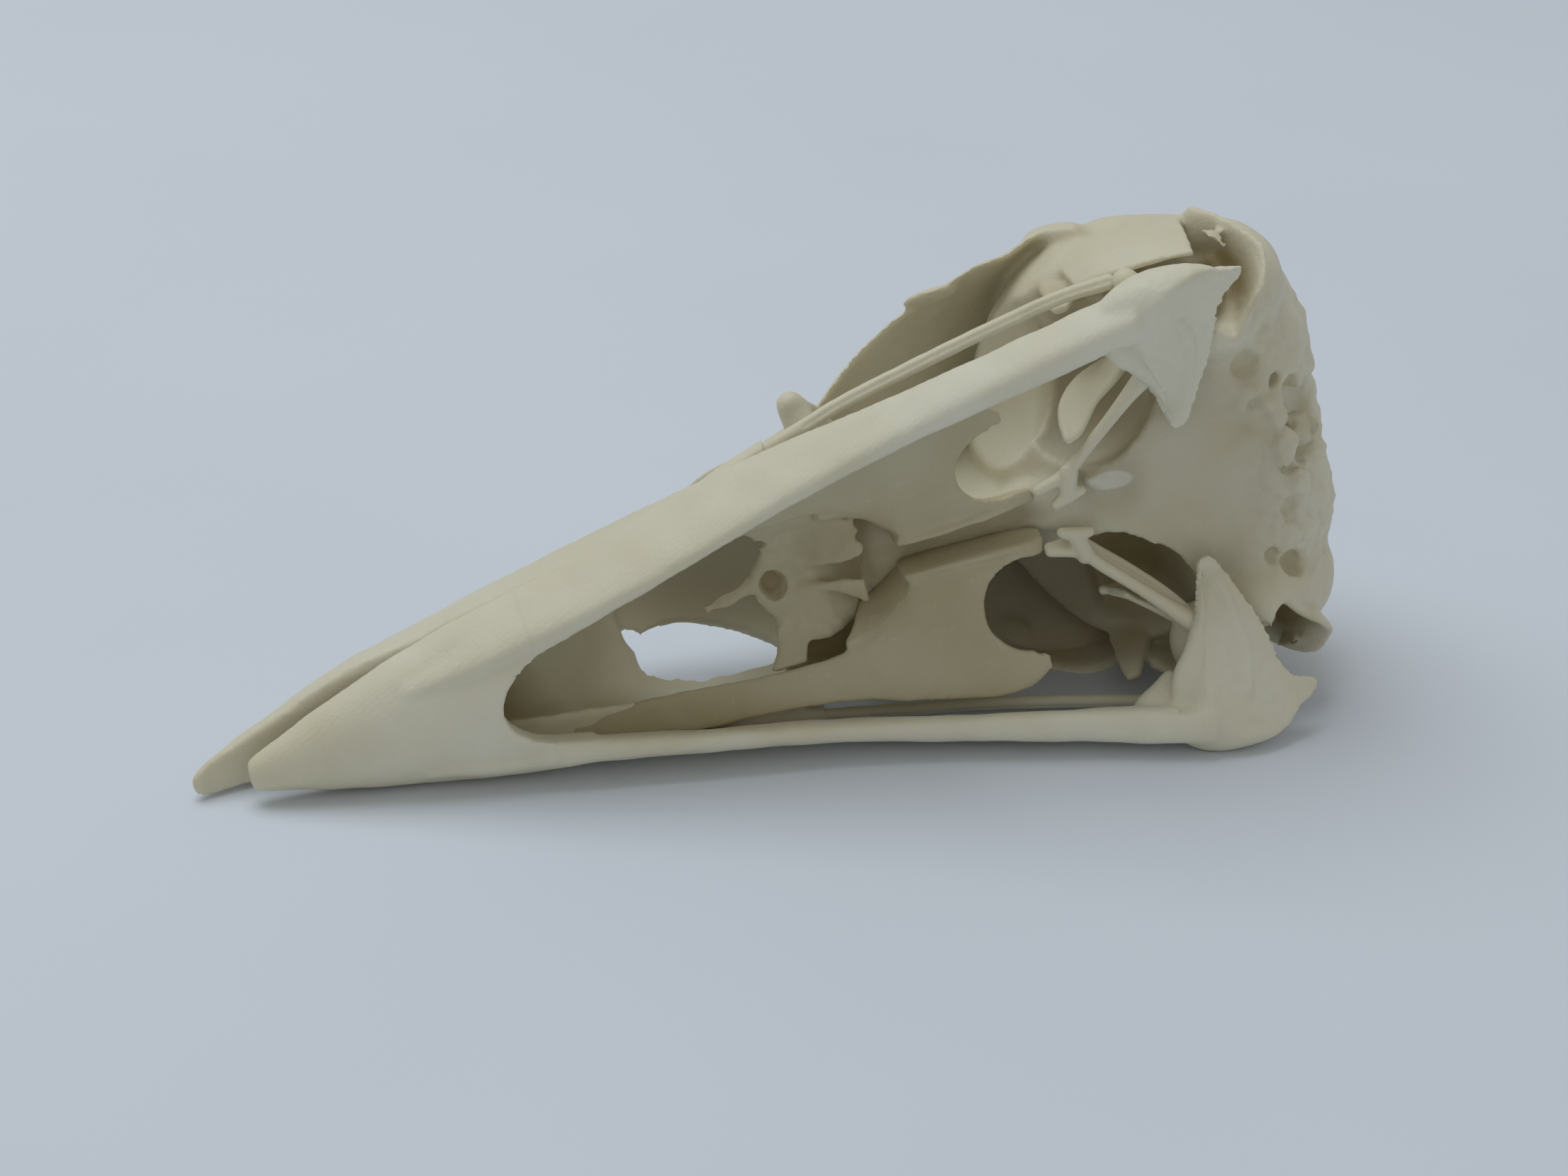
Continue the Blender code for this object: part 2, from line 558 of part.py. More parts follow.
def jugal():
    """The thin left cheek bar from the bill to the quadrate."""
    r = JUGAL_RADIUS
    tall = r * JUGAL_HEIGHT_SHARE
    return rod("jugal_left", [
        (HINGE_X - 1.2, 15.1, 2.6, tall, r), (27.8, 16.3, 2.9, tall, r), (20.8, 17.9, 2.7, tall, r),
        (13.7, 19.6, 2.0, tall, r), (7.0, 21.2, 0.9, tall, r), (2.6, 22.0, -0.4, tall, r)],
        side=(0, 0.5, 1), steps=3, sides=10)


RAMUS_ROWS = [
    (74.0, 5.6, -2.2, 3.6, -6.4, 0.9), (66.0, 7.6, -1.6, 4.6, -6.9, 1.3),
    (58.0, 9.0, -0.5, 6.2, -7.0, 1.3), (47.8, 12.0, 0.5, 8.8, -6.8, 1.05),
    (37.3, 14.4, 0.7, 11.6, -6.2, 1.05), (26.8, 16.6, -1.4, 14.4, -6.6, 1.2),
    (16.3, 18.9, -3.1, 16.9, -7.8, 1.45), (9.0, 20.5, -4.3, 18.7, -8.8, 1.7),
    (2.0, 22.0, -5.3, 20.3, -10.0, 1.9)]


def mandible():
    """The lower jaw as one closed bone, before it is parted."""
    pieces = [
        *both(sheet_loft("ramus", RAMUS_ROWS)),
        arch_loft("spoon", [
            (58.5, 9.6, 1.6, -7.9), (66, 8.4, 0.4, -7.7), (74, 6.5, -0.4, -7.4), (80.5, 4.6, -1.8, -6.9),
            (85.6, 2.9, -2.9, -6.4), (88.6, 1.9, -3.7, -6.0), (MANDIBLE_TIP_X, 1.3, -4.1, -5.8)],
            waist=0.75),
        *both(rod("joint_shelf", [
            (-1.0, 21.7, -7.0, 6.2, 2.9), (-1.0, 18.4, -6.2, 6.2, 2.7), (-1.6, 15.6, -5.2, 4.9, 2.3),
            (-1.9, 13.0, -4.3, 3.7, 1.9), (-1.8, 11.0, -3.6, 2.7, 1.5), (-1.6, 8.8, -2.8, 1.5, 1.0),
            (-1.5, 7.6, -2.4, 0.9, 0.7)], side=(1, 0, 0))),
        *both(rod("rear_process", [(-3.0, 20.6, -7.0, 2.6, 2.4), (-6.4, 21.2, -6.0, 1.7, 1.6),
                                   (-8.6, 21.3, -5.4, 0.8, 0.9)])),
        *both(rod("coronoid", [(7.0, 19.2, -5.0, 1.6, 1.0), (4.2, 17.8, -2.9, 0.9, 0.8)],
                  side=(1, 0, 0))),
    ]
    cutters = [
        arch_loft("trough", [
            (50, 9.4, 12.0, -6.4), (60, 7.6, 12.0, -5.8), (66, 6.6, 12.0, -5.6), (74, 4.9, 10.0, -5.4),
            (80.5, 3.1, 8.0, -5.2), (84, 2.0, 6.0, -5.0), (87, 0.8, 2.0, -4.7)]),
        blob("notch", (SYMPHYSIS_NOTCH_X - 10.6, 0, -6), (10.6, 5.6, 12.0)),
        *both(blob("joint_cup", (-0.9, 17.2, -2.4), (3.4, 5.6, 3.0))),
        *both(slab("rear_facet", JAW_FACET_POINT, JAW_FACET_NORMAL, 22.0)),
    ]
    return fuse("mandible", pieces, cutters, voxel=0.34, smoothing=3)


def duplicate(item, name):
    builder = bmesh.new()
    builder.from_mesh(item.data)
    return add_object(name, builder)


def build_bones():
    """Every bone as a closed mesh in the skull frame, keyed by node name."""
    half_gap = GAP / 2
    brain = cranium()
    beak = upper_beak()
    slice_off(brain, (HINGE_X - half_gap, 0, 18), (1, 0, 0.15))
    slice_off(beak, (HINGE_X + half_gap, 0, 18), (-1, 0, -0.15))
    keep_largest(beak)
    keep_largest(brain)

    cheek = jugal()
    clear_of(beak, [cheek], 0.3)
    quad = quadrate()
    clear_of(quad, [brain, cheek])
    floor = vomer()
    clear_of(floor, [brain, beak])
    palate = palatine()
    clear_of(palate, [brain, beak, floor])
    wing = pterygoid()
    clear_of(wing, [brain, palate, quad])

    jaw = mandible()
    quads = both(duplicate(quad, "quad_copy"))
    clear_of(jaw, [*quads, beak])
    remove(quads)

    thin_out(brain, 6000)
    thin_out(beak, 2400)
    thin_out(floor, 900)
    thin_out(palate, 700)
    thin_out(wing, 240)
    thin_out(quad, 480)
    thin_out(jaw, 3200)

    spoon = duplicate(jaw, "mandible_symphysis")
    slice_off(spoon, (RAMUS_SPLIT_X + half_gap, 0, 0), (-1, 0, 0))
    slice_off(jaw, (RAMUS_SPLIT_X - half_gap, 0, 0), (1, 0, 0))
    ramus = duplicate(jaw, "mandible_ramus_left")
    slice_off(ramus, (0, 0, 0), (0, -1, 0))
    remove([jaw])

    bones = {"cranium": brain, "upper_beak": beak, "vomer": floor, "mandible_symphysis": spoon}
    for name, item in (("palatine", palate), ("pterygoid", wing), ("quadrate", quad),
                       ("jugal", cheek), ("mandible_ramus", ramus)):
        item.name = name + "_left"
        bones[name + "_left"] = item
        bones[name + "_right"] = mirrored(item, name + "_right")
    for item in bones.values():
        keep_largest(item)
    return bones


def centre_of_mass(builder):
    """Centroid of the closed, triangulated surfaces in a bmesh."""
    total = 0.0
    moment = Vector()
    for face in builder.faces:
        a, b, c = (vert.co for vert in face.verts)
        volume = a.dot(b.cross(c)) / 6
        total += volume
        moment += volume * (a + b + c) / 4
    return moment / total


def resting_plane(bones):
    """Up vector and a point of the hull face that the skull rests on, under its weight."""
    builder = bmesh.new()
    for item in bones.values():
        builder.from_mesh(item.data)
    bmesh.ops.triangulate(builder, faces=builder.faces[:])
    weight = centre_of_mass(builder)
    bmesh.ops.delete(builder, geom=builder.edges[:], context="EDGES_FACES")
    bmesh.ops.convex_hull(builder, input=builder.verts[:])
    rough = Vector(ROUGH_UP).normalized()
    stable = []
    for face in builder.faces:
        a, b, c = (vert.co for vert in face.verts)
        if all((q - p).cross(weight - p).dot(face.normal) > 0 for p, q in ((a, b), (b, c), (c, a))):
            stable.append(face)
    best = min(stable, key=lambda face: face.normal.dot(rough))
    corners = [tuple(round(value, 2) for value in vert.co) for vert in best.verts]
    print("rests on", corners, "weight at", tuple(round(value, 2) for value in weight))
    up = -best.normal.copy()
    point = best.calc_center_median()
    builder.free()
    return up, point


def pose_matrix(up):
    """Rotation that stands the up vector upright and heads the bill along its bearing."""
    up = up.normalized()
    ahead = Vector((1, 0, 0)) - up * up.x
    ahead.normalize()
    left = up.cross(ahead)
    skull_to_level = Matrix((ahead, left, up))
    return Matrix.Rotation(math.radians(BILL_HEADING), 3, "Z") @ skull_to_level


def finish_materials(bones):
    tones = {"cranium": (0.62, 0.58, 0.45), "upper_beak": (0.62, 0.58, 0.45),
             "vomer": (0.58, 0.53, 0.39), "palatine": (0.58, 0.53, 0.39),
             "pterygoid": (0.63, 0.59, 0.45), "quadrate": (0.63, 0.59, 0.45),
             "jugal": (0.63, 0.59, 0.45), "mandible": (0.64, 0.61, 0.48)}
    for name, item in bones.items():
        tone = next(value for key, value in tones.items() if name.startswith(key))
        material = bpy.data.materials.new(name + "_ivory")
        material.use_nodes = True
        shader = material.node_tree.nodes["Principled BSDF"]
        shader.inputs["Base Color"].default_value = (*tone, 1.0)
        shader.inputs["Roughness"].default_value = 0.55
        shader.inputs["Metallic"].default_value = 0.0
        item.data.materials.clear()
        item.data.materials.append(material)


def lay_down(bones):
    """Level the resting spots, then hang every bone on one empty that lays the skull down."""
    up, point = resting_plane(bones)
    level = point + up * FLAT_DEPTH
    for item in bones.values():
        slice_off(item, level, -up)
    turn = pose_matrix(up)
    spots = np.vstack([[turn @ vert.co for vert in item.data.vertices] for item in bones.values()])
    low, high = spots.min(axis=0), spots.max(axis=0)
    anchor = bpy.data.objects.new("skull_pose", None)
    bpy.data.collections[COLLECTION_NAME].objects.link(anchor)
    anchor.rotation_euler = turn.to_euler()
    anchor.location = (-0.0005 * (low[0] + high[0]), -0.0005 * (low[1] + high[1]), -0.001 * low[2])
    for name, item in bones.items():
        item.data.transform(Matrix.Scale(0.001, 4))
        item.name = name
        item.data.name = name
        bpy.data.collections[CUTTER_COLLECTION_NAME].objects.unlink(item)
        bpy.data.collections[COLLECTION_NAME].objects.link(item)
        item.parent = anchor
        item.data.shade_smooth()
        item.data.set_sharp_from_angle(angle=math.radians(45))


clear_scene()
skull = build_bones()
finish_materials(skull)
lay_down(skull)
for bone_name, bone in skull.items():
    print(bone_name, "triangles", sum(len(face.vertices) - 2 for face in bone.data.polygons))
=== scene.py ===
import math

import bmesh
import bpy
import numpy as np
from mathutils import Matrix, Vector, noise


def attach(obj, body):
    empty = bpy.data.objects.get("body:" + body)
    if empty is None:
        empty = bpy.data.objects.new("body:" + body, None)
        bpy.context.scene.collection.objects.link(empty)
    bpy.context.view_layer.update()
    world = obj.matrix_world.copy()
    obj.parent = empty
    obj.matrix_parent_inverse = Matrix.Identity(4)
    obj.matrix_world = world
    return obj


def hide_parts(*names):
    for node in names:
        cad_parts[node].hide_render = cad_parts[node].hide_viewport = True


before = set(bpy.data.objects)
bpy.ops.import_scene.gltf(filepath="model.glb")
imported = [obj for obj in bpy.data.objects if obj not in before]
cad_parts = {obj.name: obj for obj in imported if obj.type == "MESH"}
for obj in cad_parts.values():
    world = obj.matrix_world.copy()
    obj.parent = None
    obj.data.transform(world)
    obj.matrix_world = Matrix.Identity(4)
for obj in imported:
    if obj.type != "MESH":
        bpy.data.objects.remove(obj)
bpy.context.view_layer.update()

stageSet = bpy.context.scene.collection

# The bones are modelled in the skull's own frame in millimetres: x forward from the jaw joint,
# y to the skull's left, z up from the palate. Here is where those axes point in the frame.
pose = {
    "x": (-0.954020, -0.187171, -0.234120),
    "y": (-0.238119, -0.001151, 0.971235),
    "z": (-0.182057, 0.982327, -0.043471),
    "origin": (0.036148, -0.003119, 0.023486),
    "hinge": 34.0,          # x of the line between bill and braincase, at the height below
    "hingeHeight": 18,
    "hingeLean": 0.15,      # how far that line leans forward for each millimetre down
    "hingeLap": 0.4,        # how far the two overlap before they are melted together
    "symphysis": 62.0,      # x of the line between the jaw's tip and its two sides
}
turn = Matrix((pose["x"], pose["y"], pose["z"])).transposed().to_4x4()
place = Matrix.Translation(pose["origin"]) @ turn @ Matrix.Scale(0.001, 4)
under = place.inverted() @ Vector((0, 0, 0))      # a point of the floor in the skull's millimetres
downward = turn.to_3x3().transposed() @ Vector((0, 0, -1))


# Points of a smooth curve through the rows, with the given steps between neighbours
def through(rows, steps):
    rows = np.array(rows, dtype=float)
    padded = np.vstack([2 * rows[0] - rows[1], rows, 2 * rows[-1] - rows[-2]])
    result = []
    for i in range(1, len(padded) - 2):
        before, start, end, after = padded[i - 1:i + 3]
        for t in np.linspace(0, 1, steps, endpoint=False):
            result.append(0.5 * (2 * start + (end - before) * t
                                 + (2 * before - 5 * start + 4 * end - after) * t ** 2
                                 + (3 * start - before - 3 * end + after) * t ** 3))
    result.append(rows[-1])
    return np.array(result)


def power(value, exponent):
    return math.copysign(abs(value) ** exponent, value)


def asMesh(bm):
    mesh = bpy.data.meshes.new("lump")
    bm.to_mesh(mesh)
    bm.free()
    return mesh


# A grid bent into a closed tube. The spot function gives a point from its ring number and angle
def tube(rings, around, spot):
    bm = bmesh.new()
    bmesh.ops.create_grid(bm, x_segments=rings - 1, y_segments=around, size=0.5)
    for vert in bm.verts:
        ring = round((vert.co.x + 0.5) * (rings - 1))
        vert.co = spot(ring, (vert.co.y + 0.5) * 2 * math.pi)
    bmesh.ops.remove_doubles(bm, verts=bm.verts, dist=0.0001)
    bmesh.ops.holes_fill(bm, edges=[edge for edge in bm.edges if edge.is_boundary])
    bmesh.ops.recalc_face_normals(bm, faces=bm.faces)
    return asMesh(bm)


# A tube along x, the same on both sides. Rows: x, half width, top z, bottom z and maybe fullness
def arch(rows, waist=0.3, crown=2.0, keel=2.0, steps=7, around=72):
    rows = through(rows, steps)

    def spot(ring, angle):
        x, halfWidth, top, bottom = rows[ring][:4]
        full = rows[ring][4] if len(rows[ring]) > 4 else crown
        middle = bottom + waist * (top - bottom)
        c, s = math.cos(angle), math.sin(angle)
        bend = 2.0 / (full if s > 0 else keel)
        reach = top - middle if s > 0 else middle - bottom
        return x, halfWidth * power(c, bend), middle + reach * power(s, bend)

    return tube(len(rows), around, spot)


# A bent plate between two edges. Rows: x, y, z of one edge, x, y, z of the other, half thickness
def ribbon(rows, steps=7, around=32):
    rows = through(rows, steps)
    middles = (rows[:, 0:3] + rows[:, 3:6]) / 2
    tangents = np.gradient(middles, axis=0)
    across = (rows[:, 3:6] - rows[:, 0:3]) / 2
    normals = np.cross(tangents, across)
    normals = normals / np.linalg.norm(normals, axis=1)[:, None]

    def spot(ring, angle):
        reach, rise = power(math.cos(angle), 0.7), power(math.sin(angle), 0.6)
        return middles[ring] + across[ring] * reach + normals[ring] * rows[ring][6] * rise

    return tube(len(rows), around, spot)


# A ribbon whose edges keep the same x. Rows: x, y and z of each edge, half thickness
def plate(rows):
    return ribbon([(x, y0, z0, x, y1, z1, half) for x, y0, z0, y1, z1, half in rows])


# A tapering rod with round ends. Rows: x, y, z, half size along the side vector, half size across it
def rod(rows, side=(0, 0, 1), steps=6, around=24):
    rows = through(rows, steps)
    spots = rows[:, :3]
    tangents = np.gradient(spots, axis=0)
    tangents = tangents / np.linalg.norm(tangents, axis=1)[:, None]
    caps = ((0.98, 0.18), (0.87, 0.5), (0.68, 0.73), (0.4, 0.92))
    last = len(rows) - 1
    rings = [(0, -rise, scale) for rise, scale in caps]
    rings += [(i, 0, 1) for i in range(last + 1)]
    rings += [(last, rise, scale) for rise, scale in reversed(caps)]

    def spot(ring, angle):
        index, rise, scale = rings[ring]
        tangent = Vector(tangents[index])
        up = Vector(side) - tangent * Vector(side).dot(tangent)
        up.normalize()
        over = tangent.cross(up)
        a, b = rows[index][3:5]
        centre = Vector(spots[index]) + tangent * rise * min(a, b)
        return centre + up * a * scale * math.cos(angle) + over * b * scale * math.sin(angle)

    return tube(len(rings), around, spot)


# A turned ellipsoid
def blob(centre, radii, turned=(0, 0, 0)):
    bm = bmesh.new()
    bmesh.ops.create_uvsphere(bm, u_segments=40, v_segments=26, radius=1.0)
    spin = Matrix.Identity(4)
    for degrees, axis in zip(turned, "XYZ"):
        spin = Matrix.Rotation(math.radians(degrees), 4, axis) @ spin
    shape = Matrix.Translation(centre) @ spin @ Matrix.Diagonal((*radii, 1.0))
    bmesh.ops.transform(bm, matrix=shape, verts=bm.verts)
    return asMesh(bm)


# A box with one face on a plane at the point, standing on the normal's side
def slab(point, normal, size):
    bm = bmesh.new()
    bmesh.ops.create_cube(bm, size=size)
    upright = Vector((0, 0, 1)).rotation_difference(Vector(normal)).to_matrix().to_4x4()
    shape = Matrix.Translation(Vector(point) + Vector(normal).normalized() * size / 2) @ upright
    bmesh.ops.transform(bm, matrix=shape, verts=bm.verts)
    return asMesh(bm)


def mirrored(mesh):
    bm = bmesh.new()
    bm.from_mesh(mesh)
    bmesh.ops.scale(bm, vec=(1, -1, 1), verts=bm.verts)
    bmesh.ops.reverse_faces(bm, faces=bm.faces)
    return asMesh(bm)


def both(mesh):
    return [mesh, mirrored(mesh)]


def bothOfEach(blobs):
    return [side for shape in blobs for side in both(blob(*shape))]


def joined(meshes):
    bm = bmesh.new()
    for mesh in meshes:
        bm.from_mesh(mesh)
        bpy.data.meshes.remove(mesh)
    return asMesh(bm)


# The mesh after the given modifiers, each one a type and its settings
def baked(mesh, *modifiers):
    item = bpy.data.objects.new("work", mesh)
    stageSet.objects.link(item)
    for kind, settings in modifiers:
        modifier = item.modifiers.new("Step", kind)
        for key, value in settings.items():
            setattr(modifier, key, value)
    bpy.context.view_layer.update()
    result = bpy.data.meshes.new_from_object(item.evaluated_get(bpy.context.evaluated_depsgraph_get()))
    bpy.data.objects.remove(item)
    bpy.data.meshes.remove(mesh)
    return result


# Melt overlapping pieces into one skin
def melt(meshes, voxel, smooth=1):
    return baked(joined(meshes), ("REMESH", {"mode": "VOXEL", "voxel_size": voxel}),
                 ("SMOOTH", {"factor": 0.5, "iterations": smooth}))


def carve(mesh, cutters):
    for cutter in cutters:
        tool = bpy.data.objects.new("tool", cutter)
        stageSet.objects.link(tool)
        mesh = baked(mesh, ("BOOLEAN", {"operation": "DIFFERENCE", "solver": "MANIFOLD", "object": tool}))
        bpy.data.objects.remove(tool)
        bpy.data.meshes.remove(cutter)
    return mesh


def bone(pieces, cutters, voxel, smooth=2):
    mesh = melt(pieces, voxel)
    if cutters:
        mesh = melt([carve(mesh, cutters)], voxel, smooth)
    return largest(mesh)


# Keep the closed surface with the most faces
def largest(mesh):
    bm = bmesh.new()
    bm.from_mesh(mesh)
    bpy.data.meshes.remove(mesh)
    left = set(bm.faces)
    groups = []
    while left:
        stack = [left.pop()]
        group = []
        while stack:
            face = stack.pop()
            group.append(face)
            for edge in face.edges:
                for other in edge.link_faces:
                    if other in left:
                        left.remove(other)
                        stack.append(other)
        groups.append(group)
    groups.sort(key=len)
    bmesh.ops.delete(bm, geom=[face for group in groups[:-1] for face in group], context="FACES")
    return asMesh(bm)


# The part of a mesh behind a plane, closed flat
def behind(mesh, point, normal, whole=False):
    bm = bmesh.new()
    bm.from_mesh(mesh)
    bmesh.ops.bisect_plane(bm, geom=bm.verts[:] + bm.edges[:] + bm.faces[:], dist=0.0001,
                           plane_co=point, plane_no=normal, clear_outer=True)
    bmesh.ops.holes_fill(bm, edges=[edge for edge in bm.edges if edge.is_boundary])
    bmesh.ops.recalc_face_normals(bm, faces=bm.faces)
    return asMesh(bm) if whole else largest(asMesh(bm))


# Soft sculpting of a dense mesh: dabs and strokes push its points along their normals
class Clay:
    def __init__(self, mesh):
        self.mesh = mesh
        count = len(mesh.vertices)
        self.spots = np.empty(count * 3)
        self.normals = np.empty(count * 3)
        mesh.vertices.foreach_get("co", self.spots)
        mesh.vertex_normals.foreach_get("vector", self.normals)
        self.spots = self.spots.reshape(-1, 3)
        self.normals = self.normals.reshape(-1, 3)

    def push(self, distance, radius, height, facing):
        share = np.clip(1 - (distance / radius) ** 2, 0, 1) ** 2
        if facing is not None:
            share = share * (self.normals @ np.array(Vector(facing).normalized()) > 0.1)
        self.spots += self.normals * (share * height)[:, None]

    def dab(self, centre, radius, height, facing=None):
        self.push(np.linalg.norm(self.spots - np.array(centre), axis=1), radius, height, facing)

    def stroke(self, points, radius, height, facing=None):
        points = through(points, 5)
        nearest = np.full(len(self.spots), 1e9)
        for start, end in zip(points, points[1:]):
            along = end - start
            t = np.clip((self.spots - start) @ along / max(along @ along, 1e-9), 0, 1)
            nearest = np.minimum(nearest, np.linalg.norm(self.spots - start - t[:, None] * along, axis=1))
        self.push(nearest, radius, height, facing)

    def grain(self, height, size, centre=None, radius=1.0):
        share = np.ones(len(self.spots))
        if centre is not None:
            far = np.linalg.norm(self.spots - np.array(centre), axis=1)
            share = np.clip(1 - (far / radius) ** 2, 0, 1)
        for i in np.nonzero(share)[0]:
            lift = noise.noise(Vector(self.spots[i] / size))
            self.spots[i] += self.normals[i] * height * share[i] * lift

    def done(self):
        self.mesh.vertices.foreach_set("co", self.spots.ravel())
        self.mesh.update()
        return self.mesh


print("stage 1: helpers ready")


# A node socket that can be added, scaled and mixed like a number
class Wire:
    def __init__(self, tree, socket):
        self.tree = tree
        self.socket = socket

    def node(self, kind, settings, values, output=0):
        made = self.tree.nodes.new(kind)
        for key, value in settings.items():
            setattr(made, key, value)
        for key, value in values.items():
            if isinstance(value, Wire):
                self.tree.links.new(value.socket, made.inputs[key])
            else:
                made.inputs[key].default_value = value
        return Wire(self.tree, made.outputs[output])

    def maths(self, operation, first, second):
        return self.node("ShaderNodeMath", {"operation": operation}, {0: first, 1: second})

    def __add__(self, other):
        return self.maths("ADD", self, other)

    def __radd__(self, other):
        return self.maths("ADD", other, self)

    def __sub__(self, other):
        return self.maths("SUBTRACT", self, other)

    def __rsub__(self, other):
        return self.maths("SUBTRACT", other, self)

    def __mul__(self, other):
        return self.maths("MULTIPLY", self, other)

    def __rmul__(self, other):
        return self.maths("MULTIPLY", other, self)

    def vector(self, operation, other, output=0):
        return self.node("ShaderNodeVectorMath", {"operation": operation}, {0: self, 1: other}, output)

    def speckle(self, scale, detail=3.0, rough=0.55):
        return self.node("ShaderNodeTexNoise", {}, {"Vector": self, "Scale": scale, "Detail": detail,
                                                    "Roughness": rough})

    def span(self, low, high, start=0.0, end=1.0):
        return self.node("ShaderNodeMapRange", {"clamp": True}, {
            "Value": self, "From Min": low, "From Max": high, "To Min": start, "To Max": end})

    def tint(self, first, second):
        return self.node("ShaderNodeMix", {"data_type": "RGBA"}, {0: self, 6: first, 7: second}, 2)


# Ivory casting resin: slow drifts of tone, fine print lines along the skull, a dusty grain, painted shade
# as a warmer, browner tone deep inside the hollows, and painted highlights as paler spots. Everything is laid
# out in the skull's millimetres
def resin(name, look):
    material = bpy.data.materials.new(name)
    material.use_nodes = True
    tree = material.node_tree
    shader = tree.nodes["Principled BSDF"]
    shift, spin, size = place.inverted().decompose()
    metres = Wire(tree, tree.nodes.new("ShaderNodeTexCoord").outputs["Object"])
    spot = metres.node("ShaderNodeMapping", {"vector_type": "POINT"}, {
        "Vector": metres, "Location": shift, "Rotation": spin.to_euler(), "Scale": size})
    drift = spot.speckle(look["driftScale"], 4.0).span(*look["driftSpan"])
    grain = spot.speckle(look["grainScale"], 5.0, 0.65)
    tone = drift.tint((*look["tone"], 1.0), (*look["warm"], 1.0))
    fleck = grain.span(*look["fleckSpan"], 0.0, look["fleck"])
    tone = fleck.tint(tone, (*look["pale"], 1.0))
    # Painted shade: the deep tone laid into each hollow; painted highlights: the pale tone laid onto each
    # raised spot
    places = [(*hollow, look["deep"], look["paintedShadeEdge"]) for hollow in look["hollows"]]
    places += [(*patch, look["pale"], look["paintedHighlightEdge"]) for patch in look["paintedHighlights"]]
    for centre, radii, depth, colour, edge in places:
        away = spot.vector("SUBTRACT", centre).vector("DIVIDE", radii).vector("LENGTH", (0, 0, 0), 1)
        tone = away.span(*edge, depth, 0.0).tint(tone, (*colour, 1.0))
    tree.links.new(tone.socket, shader.inputs["Base Color"])
    rough = grain * look["roughSpread"] + (look["rough"] - 0.5 * look["roughSpread"])
    tree.links.new(rough.socket, shader.inputs["Roughness"])
    height = spot.vector("DOT_PRODUCT", look["printAxis"], 1)
    ripple = (spot.speckle(look["waveScale"], 2.0) * look["waves"] + height) * look["printLines"]
    lines = spot.node("ShaderNodeMath", {"operation": "SINE"}, {0: ripple})
    relief = grain * look["grainHeight"] + lines * look["lineHeight"]
    bump = spot.node("ShaderNodeBump", {}, {"Strength": 1.0, "Distance": 1.0, "Height": relief})
    tree.links.new(bump.socket, shader.inputs["Normal"])
    shader.inputs["Subsurface Weight"].default_value = look["glow"]
    shader.inputs["Subsurface Radius"].default_value = look["glowTint"]
    shader.inputs["Subsurface Scale"].default_value = look["glowReach"]
    shader.inputs["Specular IOR Level"].default_value = look["gloss"]
    return material


ivory = {
    "tone": (0.78, 0.745, 0.60),
    "warm": (0.72, 0.665, 0.49),
    # The tone of the pale flecks of grain, and also of the painted highlights
    "pale": (0.85, 0.84, 0.75),
    # The tone of the painted shade laid into the hollows
    "deep": (0.31, 0.235, 0.105),
    "fleck": 0.22,
    "fleckSpan": (0.60, 0.72),
    "rough": 0.5,
    "roughSpread": 0.3,
    "gloss": 0.4,
    "driftScale": 0.06,
    "driftSpan": (0.35, 0.68),
    "grainScale": 1.8,
    "grainHeight": 0.00006,
    "printAxis": (0.2, 0.0, 1.0),
    "printLines": 14.0,     # radians a millimetre, so a line each 0.45 mm
    "lineHeight": 0.000004,
    "waves": 1.2,           # how far the lines wander, in millimetres
    "waveScale": 0.12,
    "glow": 0.14,
    "glowTint": (1.0, 0.75, 0.45),
    "glowReach": 0.0009,    # in metres
    "hollows": [],          # painted shade: centre, radii and depth of the darker tone in each hollow
    "paintedShadeEdge": (0.55, 1.05),     # where the painted shade starts to fade and where it ends, in radii
    "paintedHighlights": [],          # the same for painted highlights, paler spots on raised places
    "paintedHighlightEdge": (0.85, 1.05),
}
# Painted shade: darker, browner spots laid over the orbits, the ears, the bill's vault and the trough, where
# shade falls. Each is a centre, radii and depth of tone
orbitPaintedShade = [
    ((15.0, -11.0, 12.0), (15.0, 12.0, 12.0), 0.5), ((6.5, 15.0, 8.0), (5.0, 6.0, 6.0), 0.35),
    ((5.0, -11.0, 6.4), (8.0, 8.5, 6.0), 0.9), ((5.0, 11.0, 6.4), (8.0, 8.5, 6.0), 0.6),
    ((-3.0, 0.0, 0.0), (12.0, 15.0, 5.0), 0.25), ((5.4, 2.0, 1.4), (5.4, 4.6, 2.6), 0.3)]
earPaintedShade = [
    ((-8.8, 18.0, 3.5), (3.6, 4.0, 7.0), 0.9), ((-8.8, -18.0, 3.5), (3.6, 4.2, 7.0), 0.9),
    ((-14.6, 0.0, 5.4), (3.0, 3.6, 3.6), 0.6)]
vaultPaintedShade = [((66.0, -1.0, 4.0), (10.0, 7.0, 6.0), 0.85), ((44.0, 0.0, 12.0), (9.0, 9.0, 6.0), 0.6)]
trough = [
    ((17.0, 0.0, 4.4), (11.0, 1.9, 2.4), 0.6), ((30.0, 0.0, 7.4), (9.0, 8.0, 3.6), 0.6),
    ((26.5, 0.0, 5.4), (5.5, 6.5, 3.4), 0.45), ((34.4, -7.4, 4.2), (4.6, 2.6, 2.6), 0.95),
    ((38.2, 0.0, 4.8), (1.6, 1.8, 0.9), 0.8), ((32.5, 3.6, 2.6), (4.0, 3.4, 1.5), 0.3)]
